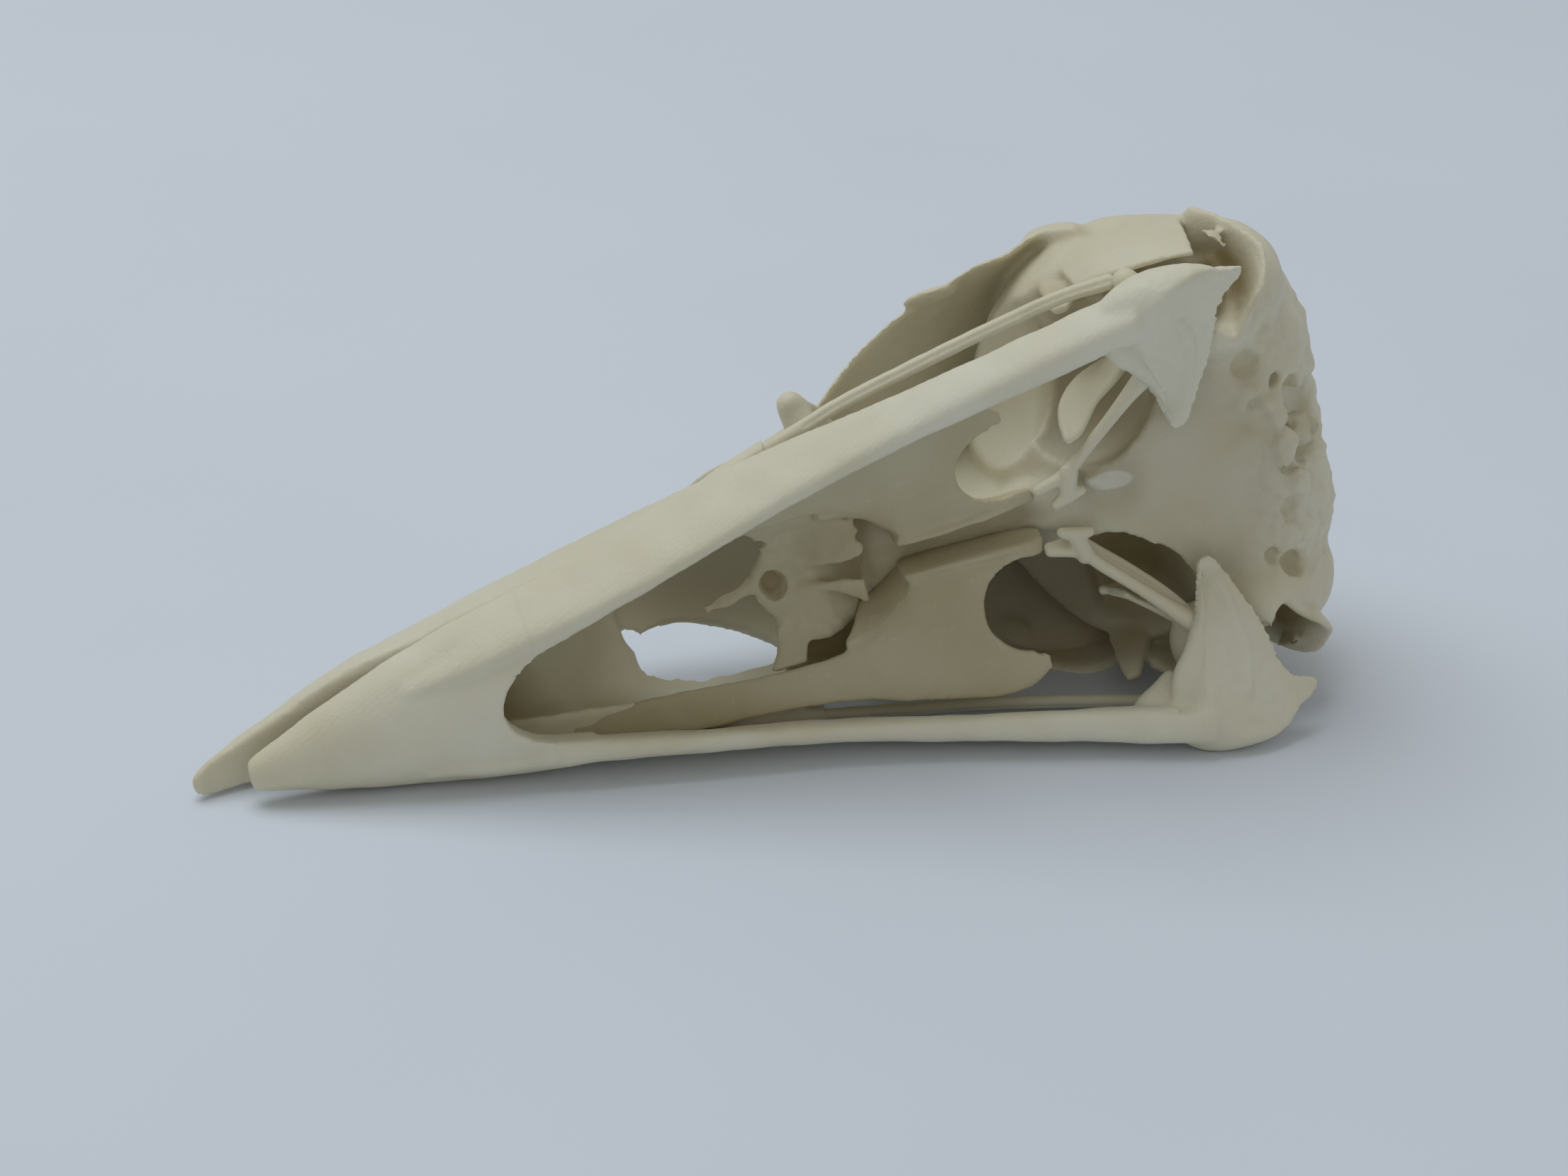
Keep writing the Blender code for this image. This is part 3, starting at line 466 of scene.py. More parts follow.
resins = {
    # The braincase's painted highlights make the raised oval and ridge in the middle of its base paler
    "braincase": resin("ivory_braincase", {
        **ivory, "grainHeight": 0.00009, "glow": 0.2, "hollows": orbitPaintedShade + earPaintedShade + trough,
        "paintedHighlights": [((5.6, 2.1, 0.7), (2.7, 0.95, 1.2), 0.55), ((1.5, 0.3, 0.6), (0.6, 2.3, 1.0), 0.7)]}),
    "bill": resin("ivory_bill", {**ivory, "hollows": vaultPaintedShade}),
    # The palate's resin is kept darker and browner than the rest as painted shade, with more painted shade in
    # the trough
    "palate": resin("ivory_palate_painted_shade", {
        **ivory, "tone": (0.58, 0.53, 0.375), "warm": (0.51, 0.445, 0.28), "hollows": trough}),
    "struts": resin("ivory_struts", {**ivory, "tone": (0.76, 0.72, 0.56)}),
    "jaw": resin("ivory_jaw", {**ivory, "tone": (0.80, 0.77, 0.63)}),
}
print("stage 2: materials ready")


# Lay a finished bone on the floor, give it its resin and let it stand for its node
def present(mesh, node, slot):
    loose = mesh
    mesh = behind(loose, under, downward, whole=True)
    bpy.data.meshes.remove(loose)
    mesh.transform(place)
    mesh.name = node + "_bone"
    item = bpy.data.objects.new(node + "_bone", mesh)
    stageSet.objects.link(item)
    mesh.materials.clear()
    mesh.materials.append(resins[slot])
    mesh.shade_smooth()
    mesh.set_sharp_from_angle(angle=math.radians(60))
    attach(item, "root")
    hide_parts(node)
    print(node, "faces", len(mesh.polygons))


def presentBoth(mesh, name, slot):
    present(mirrored(mesh), name + "_right", slot)
    present(mesh, name + "_left", slot)


# The bill: solid in front, an arched shell behind, open below and at the nares
billLook = {
    "voxel": 0.33,
    "rows": [  # x, half width, top, bottom, fullness of the crown
        (31.0, 11.0, 20.6, 3.0, 2.7), (34.0, 11.4, 20.0, 1.4, 2.6), (40, 11.6, 18.9, 0.0, 2.2),
        (47, 10.9, 17.6, -0.2, 1.85), (55, 9.7, 16.2, -0.3, 1.66), (63, 8.4, 14.4, -0.3, 1.62),
        (71, 6.7, 11.9, -0.3, 1.62), (79, 5.4, 8.7, -0.5, 1.62), (85, 3.5, 5.6, -0.9, 1.62),
        (90, 2.3, 2.0, -2.0, 1.62), (93.2, 1.7, -0.9, -3.2, 1.62), (94.8, 0.9, -2.9, -4.0, 1.62)],
    "flare": [  # the rim of the bill behind the nares
        (52, 9.4, 0.9, 1.0, 1.0), (45, 11.2, 1.4, 1.3, 1.1), (38, 13.5, 2.2, 1.2, 1.1),
        (33, 14.9, 2.6, 1.0, 0.9)],
    "hollow": [
        (29, 9.6, 18.2, -5.0), (40, 9.6, 16.6, -6.0), (48, 8.8, 15.4, -5.0), (51.8, 8.1, 14.8, -4.6),
        (52.4, 7.9, 12.8, -4.4), (56, 7.2, 12.0, -4.0), (63, 5.8, 9.8, -3.4), (69, 3.8, 6.4, -3.0),
        (74, 1.4, 1.5, -2.0)],
    "naris": ((45.6, 10.4, 11.0), (7.6, 7.2, 3.5), (0, -12, 6)),
    "narisTip": ((51.3, 7.0, 12.5), (2.1, 3.3, 0.8), (0, -20, 6)),
    "nicks": [  # frayed spots along the lower rim of each naris
        ((50.7, 7.8, 9.9), 0.7), ((49.4, 8.5, 8.6), 0.6), ((47.8, 9.0, 7.9), 0.5), ((46.4, 9.4, 7.5), 0.7),
        ((44.6, 9.7, 7.9), 0.4), ((42.8, 9.9, 8.6), 0.6)],
    "grain": (0.9, 2.2, (52.2, -2.5, 12.4), 3.6),     # the frayed step in the roof of the hollow
}
bill = bone([arch(billLook["rows"], waist=0.06, keel=4.0), *both(rod(billLook["flare"]))],
            [arch(billLook["hollow"], waist=0.6, crown=1.8, keel=1.8), *both(blob(*billLook["naris"])),
             *both(blob(*billLook["narisTip"])),
             *(blob(spot, (size, size, size)) for spot, size in billLook["nicks"]),
             *(mirrored(blob(spot, (size, size, size))) for spot, size in billLook["nicks"])],
            billLook["voxel"], 1)
clay = Clay(bill)
clay.grain(*billLook["grain"])
bill = clay.done()
print("stage 3: bill modelled")

# Braincase, frontal roof, septum between the orbits, skull base and ear wings
brainLook = {
    "voxel": 0.36,
    "back": -18.6,
    "front": 15.6,
    "top": 28.6,
    "middle": 14.0,         # height of the widest level of the braincase
    "halfWidth": 21.7,
    "roofHalf": 1.25,       # half thickness of the roof, and how much thinner its rims are
    "rimThinner": 0.3,
    "roofDepth": 1.2,       # the middle of the roof's thickness lies this far under its crown
    "roof": [  # x, half width, height of the crown, fall toward the rims
        (35, 9.4, 19.9, 4.0), (29.5, 10.6, 20.8, 3.2), (26.5, 12.6, 21.6, 3.2), (23.5, 14.6, 22.8, 3.8),
        (20, 16.9, 24.2, 6.0), (16, 19.4, 25.6, 9.4), (13, 21.0, 26.6, 11.8), (10.4, 21.7, 27.0, 12.4),
        (8.2, 21.6, 27.4, 12.2), (6.4, 22.0, 27.8, 12.0), (4.6, 22.2, 28.0, 11.4), (2.0, 21.4, 28.3, 10.4),
        (-3, 18.2, 27.6, 9.6)],
    "earWing": [  # rim point, root point, half thickness
        (-9.2, 22.6, 10.8, -6.0, 17.6, 13.4, 0.5), (-10.6, 22.5, 7.4, -7.4, 17.0, 11.0, 0.5),
        (-12.2, 21.6, 4.0, -8.6, 16.0, 8.4, 0.5), (-13.1, 20.4, 1.3, -9.2, 14.8, 5.6, 0.5),
        (-12.2, 18.3, -0.9, -9.0, 13.6, 3.6, 0.5), (-10.3, 16.3, -1.8, -8.2, 12.4, 2.4, 0.55),
        (-8.8, 14.2, -1.9, -7.2, 11.4, 2.0, 0.55), (-7.5, 12.6, -1.4, -6.4, 10.6, 2.0, 0.55)],
    "earWingRight": [  # its upper rows where the two sides differ
        (-9.0, 23.2, 8.6, -6.0, 17.6, 12.4, 0.65), (-10.4, 23.4, 5.6, -7.4, 17.0, 10.4, 0.65),
        (-12.0, 22.6, 3.0, -8.6, 16.0, 8.0, 0.6)],
    "base": [
        (-12.6, 9.0, 9.0, 1.8), (-8, 12.2, 9.0, 1.2), (-3.6, 12.6, 9.0, 1.0), (-1.2, 10.4, 9.0, 1.0),
        (0.6, 7.4, 9.0, 1.1), (2.8, 5.0, 8.6, 1.2), (5, 3.9, 8.0, 1.4), (8, 3.3, 7.4, 1.8),
        (11, 2.8, 7.0, 2.6), (15, 1.6, 8.0, 4.0)],
    "zygoma": [  # lower edge, upper edge, half thickness of the flange over the quadrate
        (4.2, 19.9, 4.6, 4.0, 19.2, 13.0, 0.7), (1.6, 21.2, 2.6, 1.0, 20.8, 14.0, 0.6),
        (-1.4, 21.8, 1.5, -1.8, 21.2, 14.6, 0.55), (-4.2, 22.0, 1.0, -5.0, 21.3, 14.6, 0.55),
        (-6.4, 21.8, 0.8, -8.2, 21.3, 12.4, 0.5)],
    "lip": [  # lower edge, upper edge, half thickness of the deeper brow on the side that lies down
        (4.6, -21.8, 12.4, 4.6, -21.8, 16.6, 0.6), (7.2, -21.7, 10.4, 7.2, -21.7, 15.6, 0.6),
        (10.0, -21.2, 9.8, 10.0, -21.3, 15.2, 0.6), (12.6, -20.5, 11.0, 12.6, -20.8, 15.4, 0.6),
        (15.2, -19.4, 11.6, 15.2, -19.7, 16.2, 0.6), (18.0, -18.0, 13.4, 18.0, -18.3, 16.4, 0.55)],
    "orbitWall": [  # front edge, rear edge, half thickness of the wall between orbit and ear
        (6.2, 18.2, 13.6, -1.0, 15.6, 14.4, 0.9), (6.9, 18.8, 8.4, 1.6, 17.4, 9.6, 0.7),
        (7.3, 19.2, 4.8, 4.2, 18.8, 5.4, 0.55), (7.3, 19.5, 2.2, 5.8, 19.3, 2.4, 0.45)],
    "crown": [(-17.0, -3.0, 9.0, 0.7, 0.7), (-17.3, -9.0, 9.4, 0.7, 0.7), (-15.6, -14.5, 9.6, 0.7, 0.7)],
    "pits": [  # hollows of the base, centre and radii
        ((-12.8, -0.3, 1.8), (2.5, 2.7, 2.4)), ((-13.6, 4.0, 4.0), (1.7, 2.0, 2.2)),
        ((-9.6, 9.6, 0.9), (1.7, 1.3, 1.7)), ((-9.4, 5.4, 0.8), (0.7, 0.7, 1.2)),
        ((-10.4, -11.9, 1.6), (1.3, 1.5, 1.8)), ((-8.6, -10.2, 1.0), (0.8, 0.9, 1.1)),
        ((-11.4, -6.4, 1.6), (1.0, 1.3, 1.1)), ((-11.8, 6.9, 2.6), (1.0, 0.9, 1.2))],
    "knobs": [  # bosses of the base
        ((-12.0, 0.2, 2.2), (1.3, 1.7, 1.3)), ((-11.5, -1.1, 1.9), (0.8, 0.9, 0.9)),
        ((-14.2, 0.4, 4.6), (1.6, 1.6, 1.6)), ((-11.4, 3.3, 2.4), (1.1, 1.3, 1.2)),
        ((-10.9, 5.0, 2.0), (0.9, 1.0, 0.9)), ((-9.0, 7.0, 1.5), (1.3, 0.9, 0.8)),
        ((-7.9, 5.6, 1.3), (0.8, 1.1, 0.7)), ((-12.6, -4.2, 2.8), (1.2, 1.6, 1.1)),
        ((-12.4, -9.0, 3.2), (1.3, 2.0, 1.2))],
    "knobDrop": 0.6,        # how far the bosses sink into the base
    "domes": [  # rounded masses of each side: centre, radii and turn
        ((-7.2, 8.0, 12.8), (11.0, 12.2, 12.4), (0, 0, 0)), ((-2.0, 12.2, 14.6), (9.4, 9.2, 10.2), (0, 0, 0)),
        ((-6.8, 16.2, 5.4), (6.4, 6.2, 8.4), (-8, 0, 0)), ((-10.2, 15.4, 8.4), (5.8, 5.6, 7.6), (0, 0, 0))],
    "keel": [(7, 0, 3.6, 1.7, 2.4), (11, 0, 4.6, 1.1, 2.5), (23, 0, 5.0, 1.0, 2.6), (28, 0, 5.4, 1.0, 4.4)],
    "septum": [(5, 0, 2.5, 0, 26, 1.3), (14, 0, 4.5, 0, 26, 1.0), (24, 0, 5.0, 0, 23, 1.0),
               (33, 0, 5.5, 0, 19.0, 1.1)],
    "frontWall": [  # the block in front of each orbit, out to its process
        (29.6, 1.0, 11.8, 6.8, 2.9), (29.8, 6.5, 11.6, 6.6, 2.9), (30.4, 10.2, 11.0, 5.4, 2.5),
        (31.4, 12.6, 10.8, 3.0, 1.8), (32.0, 14.2, 10.6, 1.4, 1.4)],
    "browHook": [(3.6, 20.6, 18.6, 2.6, 0.8), (2.6, 21.4, 16.8, 2.0, 0.7), (1.0, 21.9, 14.4, 0.9, 0.5)],
    "browPatch": ((15.8, 18.4, 16.7), (2.8, 2.2, 0.62), (-55, 0, 0)),
    "hollows": [  # both orbits, the temples and the ears: centre, radii and turn
        ((18.4, 13.6, 9.2), (11.8, 11.6, 8.1), (0, 0, 0)), ((9.4, 19.4, 5.4), (6.4, 7.4, 6.8), (0, 0, -24)),
        ((6.0, 12.0, 3.2), (7.4, 8.7, 6.4), (0, 0, 0)), ((-3.8, 18.7, 2.6), (6.4, 4.9, 6.8), (-14, 0, 0)),
        ((-9.3, 17.0, -0.4), (2.5, 2.4, 8.5), (-25, -6, 0)), ((-8.3, 20.7, 9.0), (2.4, 2.6, 3.8), (0, 0, 0))],
    "socket": ((-15.4, 0, 7.0), (5.2, 3.8, 3.6), (0, 25, 0)),     # the hole at the back of the base
    "oval": ((5.6, 2.1, 1.2), (2.5, 0.85, 0.55), (0, 4, 16)),     # the smooth spot in the middle of the base
    "seam": [(1.0, 2.3, 0.9, 0.35, 0.35), (1.5, 0.4, 0.8, 0.35, 0.35), (2.0, -1.7, 0.9, 0.35, 0.35)],
    "skinVoxel": 0.355,
    "dent": (-1.2, 21.9, 13.6),     # the hollow behind the hook of each brow
    "dentSize": 3.4,
    "dentDepth": 0.8,
    "grain": [  # rough areas: height and size of the grain, centre and reach of the area
        (0.5, 1.1, (-10.2, -7.7, 2.5), 4.0), (0.55, 1.7, (-16, 0, 8), 16.0), (0.3, 0.7, (-15, -4, 4), 12.0),
        (0.6, 4.6, (-4, 1, 1), 12.0), (0.3, 0.8, (-12.0, 12.0, 2.0), 6.0),
        (0.3, 0.8, (-12.0, -12.0, 2.0), 6.0), (0.12, 3.0)],
}
roofRows = through(brainLook["roof"], 7)


def roofSpot(ring, angle):
    x, halfWidth, crown, fall = roofRows[ring]
    across = power(math.cos(angle), 0.75)
    half = brainLook["roofHalf"] - brainLook["rimThinner"] * across ** 2
    height = crown - brainLook["roofDepth"] - fall * abs(across) ** 3.4
    return x, halfWidth * across, height + half * power(math.sin(angle), 0.7)


halfLength = (brainLook["front"] - brainLook["back"]) / 2
brainPieces = [
    blob((brainLook["back"] + halfLength, 0, brainLook["middle"]),
         (halfLength, brainLook["halfWidth"], brainLook["top"] - brainLook["middle"])),
    *bothOfEach(brainLook["domes"]),
    arch(brainLook["base"], crown=2.6, keel=2.6),
    rod(brainLook["keel"]),
    plate(brainLook["septum"]),
    *both(rod(brainLook["frontWall"])),
    tube(len(roofRows), 72, roofSpot),
    *both(rod(brainLook["browHook"], side=(1, 0, 0))),
    *both(rod(brainLook["crown"])),
]
brainCuts = [
    *bothOfEach(brainLook["hollows"]),
    blob(*brainLook["socket"]),
    *(blob(*pit) for pit in brainLook["pits"]),
]
brain = bone(brainPieces, brainCuts, brainLook["voxel"], 1)
print("stage 4: braincase modelled")

# Bill and braincase are one casting, so they are melted together and parted without a gap
hingeLine = (pose["hinge"], 0, pose["hingeHeight"])
hingeWay = Vector((1, 0, pose["hingeLean"]))
lap = Vector((pose["hingeLap"], 0, 0))
skull = melt([behind(brain, Vector(hingeLine) + lap, hingeWay),
              behind(bill, Vector(hingeLine) - lap, -hingeWay),
              *(blob((x, y, z - brainLook["knobDrop"]), radii) for (x, y, z), radii in brainLook["knobs"]),
              ribbon(brainLook["earWing"]), *both(ribbon(brainLook["zygoma"])),
              mirrored(ribbon(brainLook["earWingRight"] + brainLook["earWing"][3:])),
              blob(*brainLook["oval"]), rod(brainLook["seam"]), *both(blob(*brainLook["browPatch"])),
              *both(ribbon(brainLook["orbitWall"])), ribbon(brainLook["lip"])], brainLook["skinVoxel"], 2)
clay = Clay(skull)
for side in (1, -1):
    x, y, z = brainLook["dent"]
    clay.dab((x, side * y, z), brainLook["dentSize"], -brainLook["dentDepth"], (0, side, 0))
for area in brainLook["grain"]:
    clay.grain(*area)
skull = clay.done()
present(behind(skull, hingeLine, hingeWay), "cranium", "braincase")
present(behind(skull, hingeLine, -hingeWay), "upper_beak", "bill")
bpy.data.meshes.remove(skull)
print("stage 5: skull parted at the hinge")

# The floor in front of the septum: a trough whose sides slope up to the palatines, with a round
# hole, a spike in front and two frayed leaves behind that hang over a deeper floor
vomerLook = {
    "voxel": 0.2,
    "side": [  # x, y and z at the middle, y and z at the rim, half thickness
        (30.5, -0.2, 5.4, 6.0, 5.0, 0.42), (32, -0.2, 4.9, 6.2, 3.7, 0.42),
        (33.6, -0.2, 4.4, 6.3, 2.7, 0.42), (35.4, -0.2, 4.3, 6.3, 2.3, 0.42),
        (37.4, -0.2, 4.3, 5.8, 2.5, 0.42), (38.8, -0.2, 4.3, 3.6, 3.4, 0.42),
        (40.0, -0.2, 4.3, 1.5, 4.2, 0.36)],
    "arm": [  # rear edge, front edge, half thickness
        (36.0, 4.8, 2.9, 39.0, 4.2, 3.2, 0.42), (36.4, 6.3, 2.2, 39.5, 6.1, 2.2, 0.42),
        (37.0, 7.6, 1.2, 40.6, 7.4, 1.1, 0.42)],
    "leafLeft": [
        (35.2, 0.7, 3.9, 6.2, 2.4, 0.36), (33.2, 0.9, 2.9, 6.3, 2.2, 0.36),
        (31.2, 0.7, 2.5, 6.2, 2.2, 0.33), (29.4, 1.0, 2.4, 5.8, 2.4, 0.28)],
    "leafRight": [
        (35.2, -0.7, 3.9, -2.0, 3.6, 0.36), (32.6, -0.9, 2.8, -2.1, 2.9, 0.34),
        (30.9, -1.0, 2.4, -3.3, 2.8, 0.32), (29.8, -1.4, 2.3, -4.5, 2.7, 0.28)],
    "floor": [
        (24.5, -2.4, 5.6, 2.4, 5.6, 0.6), (28, -4.6, 5.6, 4.6, 5.6, 0.6), (31, -5.6, 5.6, 5.6, 5.6, 0.6),
        (35, -6.0, 5.2, 6.0, 5.2, 0.6), (37, -3.0, 4.7, 3.0, 4.7, 0.5)],
    "bridge": [
        (38.8, 4.8, 2.9, 7.6, 1.3, 0.4), (36.2, 5.6, 2.5, 7.6, 1.2, 0.4), (33.2, 5.8, 2.5, 7.4, 1.2, 0.4)],
    "spike": [
        (39.4, 0.3, 4.3, 0.5, 1.0), (41.2, -0.1, 4.2, 0.5, 0.62), (42.8, -0.35, 4.1, 0.5, 0.62),
        (44.2, -0.65, 4.0, 0.3, 0.34)],
    "bead": ((44.8, -0.8, 4.0), (0.42, 0.42, 0.42)),
    "hole": ((38.2, 0.0, 3.8), (1.3, 1.55, 1.2)),
    "dish": ((38.2, -0.1, 5.1), (2.0, 2.2, 0.7)),
    "nicks": [
        ((29.2, 2.9, 2.5), 0.62), ((29.0, 4.5, 2.5), 0.8), ((30.2, 5.9, 2.5), 0.7), ((29.2, 1.0, 2.3), 0.45),
        ((29.3, -2.9, 2.7), 0.5), ((30.3, -4.6, 2.9), 0.8), ((39.9, 3.0, 3.5), 0.6), ((39.4, -3.4, 3.5), 0.7),
        ((32.0, 0.2, 2.4), 0.5), ((38.7, 4.9, 2.8), 0.6)],
    "nickDepth": 1.4,
    "grain": (0.22, 1.3),
}
vomer = bone([
    *both(plate(vomerLook["side"])), *both(ribbon(vomerLook["arm"])),
    plate(vomerLook["leafLeft"]), plate(vomerLook["leafRight"]),
    plate(vomerLook["floor"]), plate(vomerLook["bridge"]),
    rod(vomerLook["spike"]), blob(*vomerLook["bead"]), blob(*vomerLook["dish"]),
], [
    blob(*vomerLook["hole"]),
    *(blob(spot, (size, size, vomerLook["nickDepth"])) for spot, size in vomerLook["nicks"]),
], vomerLook["voxel"])
clay = Clay(vomer)
clay.grain(*vomerLook["grain"])
present(clay.done(), "vomer", "palate")
print("stage 6: vomer modelled")

# The left palate plate: a bar in front, a broad plate behind, its inner crest turned down
palatineLook = {
    "voxel": 0.22,
    "half": 0.42,           # half thickness of its plates
    "sheet": [  # x, y and z of the inner edge, y and z of the outer, share of the thickness
        (60, 6.0, 0.3, 7.8, 0.0, 1), (56, 5.9, 0.2, 9.1, -0.2, 1), (51.5, 6.1, 0.1, 9.9, -0.5, 1),
        (47, 6.5, 0.1, 10.4, -0.8, 1), (43, 7.0, 0.3, 10.6, -0.9, 1), (38, 7.4, 0.4, 11.0, -1.0, 1),
        (33, 7.2, 0.6, 11.8, -1.3, 1), (29.8, 6.2, 0.7, 12.8, -1.6, 1), (27.4, 4.6, 0.9, 13.4, -1.8, 1),
        (25.6, 2.0, 1.1, 13.8, -2.0, 1), (23, 2.0, 1.2, 14.4, -2.2, 1), (20.6, 2.2, 1.2, 14.9, -2.4, 1),
        (17.6, 2.6, 1.2, 14.9, -2.5, 1), (16.0, 2.8, 1.2, 14.2, -2.5, 0.9),
        (14.8, 3.0, 1.2, 13.4, -2.5, 0.6)],
    "end": [(19, 3.2, 1.1, 0.42, 1.2), (16, 3.1, 1.3, 0.45, 0.8), (13.2, 2.8, 1.4, 0.45, 0.6)],
    "crest": [
        (26.4, 1.9, 0.7, 1.5, 4.2, 0.45), (24, 1.8, 0.5, 1.4, 4.4, 0.45), (21, 1.9, 0.5, 1.4, 4.2, 0.45),
        (17, 2.1, 0.6, 1.5, 4.0, 0.45), (14.4, 2.3, 0.9, 1.6, 3.8, 0.45), (12.6, 2.4, 1.4, 1.9, 3.2, 0.4)],
    "pocket": [  # the plate behind the gap beside the vomer
        (39.0, 7.4, 2.8, 9.4, 2.4, 0.42), (36.4, 6.2, 4.3, 10.0, 3.8, 0.42),
        (33.0, 5.4, 4.9, 10.4, 4.3, 0.42), (30.0, 4.6, 5.1, 10.6, 4.4, 0.42)],
    "wall": [
        (33.2, 7.1, 0.6, 6.6, 1.0, 0.42), (31.8, 6.7, 0.7, 5.6, 2.4, 0.42), (30.6, 6.4, 0.7, 4.8, 4.6, 0.42),
        (28.6, 5.5, 0.8, 3.9, 5.2, 0.42), (26.8, 4.0, 0.9, 2.5, 5.2, 0.42), (25.6, 2.5, 1.1, 1.8, 5.2, 0.42)],
    "bays": [  # the rounded cuts in its rear edge
        ((15.4, 7.4, -1.0), (4.5, 4.3, 9.0)), ((13.6, 10.6, -1.0), (2.4, 2.0, 9.0)),
        ((15.6, 11.6, -2.0), (0.5, 0.5, 2.0)), ((14.6, 14.8, -2.0), (1.2, 0.8, 2.0))],
    "grain": (0.1, 2.0),
}
palatine = bone([
    plate([(*row, palatineLook["half"] * share) for *row, share in palatineLook["sheet"]]),
    rod(palatineLook["end"], side=(0, 0.3, 1)),
    plate(palatineLook["crest"]), plate(palatineLook["pocket"]), plate(palatineLook["wall"]),
], [blob(*bay) for bay in palatineLook["bays"]], palatineLook["voxel"])
clay = Clay(palatine)
clay.grain(*palatineLook["grain"])
presentBoth(clay.done(), "palatine", "palate")
print("stage 7: palatines modelled")

# The rod from the palate to the quadrate, with a flared front end and a second ridge behind
pterygoidLook = {
    "voxel": 0.17,
    "shaft": [(12.4, 3.2, 0.6, 0.6, 0.5), (9.6, 4.1, 0.5, 0.7, 0.62), (7.6, 6.1, -0.2, 0.62, 0.6),
              (5.1, 8.6, -1.0, 0.62, 0.6), (2.6, 11.2, -1.8, 0.8, 0.75), (0.5, 13.3, -2.6, 1.2, 1.1)],
    "blade": (-0.1, -0.43, 0.9),      # the way from the lower ridge to the upper one
    "deep": [0.5, 1.5, 2.0, 2.1, 1.9, 0.8],     # how far apart the two are at each row
    "ridge": 0.5,           # radius of the upper one, and half thickness of the web between them
    "web": 0.36,
    "fork": [(11.0, 1.5, 0.3, 0.6, 0.5), (9.8, 2.0, 0.2, 0.7, 0.7), (8.4, 2.2, 0.3, 0.5, 0.5)],
    "neck": [(9.8, 2.0, 0.2, 0.7, 0.8), (9.2, 4.4, 0.2, 0.8, 0.9)],
}
ridgeRows = [(x + pterygoidLook["blade"][0] * deep, y + pterygoidLook["blade"][1] * deep,
              z + pterygoidLook["blade"][2] * deep, pterygoidLook["ridge"], pterygoidLook["ridge"])
             for (x, y, z, _, _), deep in zip(pterygoidLook["shaft"], pterygoidLook["deep"])]
webRows = [(*low[:3], *high[:3], pterygoidLook["web"])
           for low, high in zip(pterygoidLook["shaft"], ridgeRows)]
pterygoid = bone([
    rod(pterygoidLook["shaft"]), rod(ridgeRows), ribbon(webRows),
    rod(pterygoidLook["fork"]), rod(pterygoidLook["neck"]),
], [], pterygoidLook["voxel"])
presentBoth(pterygoid, "pterygoid", "struts")

# The hinge bone between the braincase and the lower jaw
quadrateLook = {
    "voxel": 0.22,
    "lumps": [  # the body and the knuckles of the jaw joint
        ((-0.6, 16.8, 0.6), (3.4, 4.1, 3.4)), ((-0.8, 13.9, -2.4), (2.0, 2.0, 2.1)),
        ((-0.9, 20.3, -2.4), (2.3, 1.8, 2.2))],
    "stem": [(-0.8, 17.6, 2.0, 2.4, 2.2), (-2.0, 18.2, 5.5, 2.0, 2.0), (-2.6, 18.2, 9.9, 2.2, 2.2)],
    "outer": ((-1.6, 19.0, -1.4), (4.6, 2.5, 2.4)),
    "cheekSocket": [(-0.2, 20.0, -0.4, 1.5, 1.5), (0.8, 21.8, -1.2, 1.4, 1.3)],
    "rearSpur": [(-2.6, 18.0, 2.4, 1.5, 1.3), (-5.6, 17.6, 3.4, 1.0, 1.0), (-7.2, 17.0, 2.6, 1.2, 1.1)],
    "leaf": [  # outer edge, inner edge, half thickness
        (0.4, 14.6, 4.4, 0.6, 14.8, 0.2, 0.8), (2.9, 11.9, 5.2, 3.1, 12.4, -0.1, 0.6),
        (5.6, 11.0, 4.9, 5.2, 10.5, 0.2, 0.45), (7.6, 10.0, 3.4, 6.1, 9.4, 0.0, 0.42),
        (8.5, 9.0, 1.6, 7.5, 8.2, -0.8, 0.4), (8.8, 8.1, -0.8, 8.5, 8.0, -1.3, 0.3)],
    "rim": 0.5,             # radius of the bead along the leaf's outer edge
    "rightRows": 4,         # the leaf of the right one ends after this many rows
}


def quadrate(leaf):
    return bone([
        *(blob(*lump) for lump in quadrateLook["lumps"]),
        rod(quadrateLook["stem"], side=(1, 0, 0)),
        blob(*quadrateLook["outer"]), ribbon(leaf),
        rod([(*row[:3], quadrateLook["rim"], quadrateLook["rim"]) for row in leaf[1:]]),
        rod(quadrateLook["cheekSocket"]), rod(quadrateLook["rearSpur"]),
    ], [], quadrateLook["voxel"])


present(mirrored(quadrate(quadrateLook["leaf"][:quadrateLook["rightRows"]])), "quadrate_right", "struts")
present(quadrate(quadrateLook["leaf"]), "quadrate_left", "struts")

# The thin cheek bar from the bill to the quadrate
jugalLook = {
    "radius": 0.62,
    "path": [(36.4, 13.95, 2.3), (32.2, 15.1, 2.6), (27.8, 16.3, 2.9), (20.8, 17.9, 2.7), (13.7, 19.6, 2.0),
             (7.0, 21.2, 0.9), (2.2, 22.0, -0.5)],
    "tall": 1.15,           # its height over its width, and what the rear end adds to that
    "rearTall": 0.2,
    "grain": (0.05, 1.2),
    "groove": (0.3, -0.58),     # y and z of the groove from the middle of the bar
    "grooveSize": 0.34,
    "grooveDepth": 0.16,
}
jugalRows = []
for x, y, z in jugalLook["path"]:
    tall = jugalLook["tall"] + jugalLook["rearTall"] * (x < 5)
    jugalRows.append((x, y, z, jugalLook["radius"] * tall, jugalLook["radius"]))
clay = Clay(rod(jugalRows, side=(0, 0.5, 1), steps=20))
clay.grain(*jugalLook["grain"])
grooveY, grooveZ = jugalLook["groove"]
groove = [(x, y + grooveY, z + grooveZ) for x, y, z in jugalLook["path"][1:]]
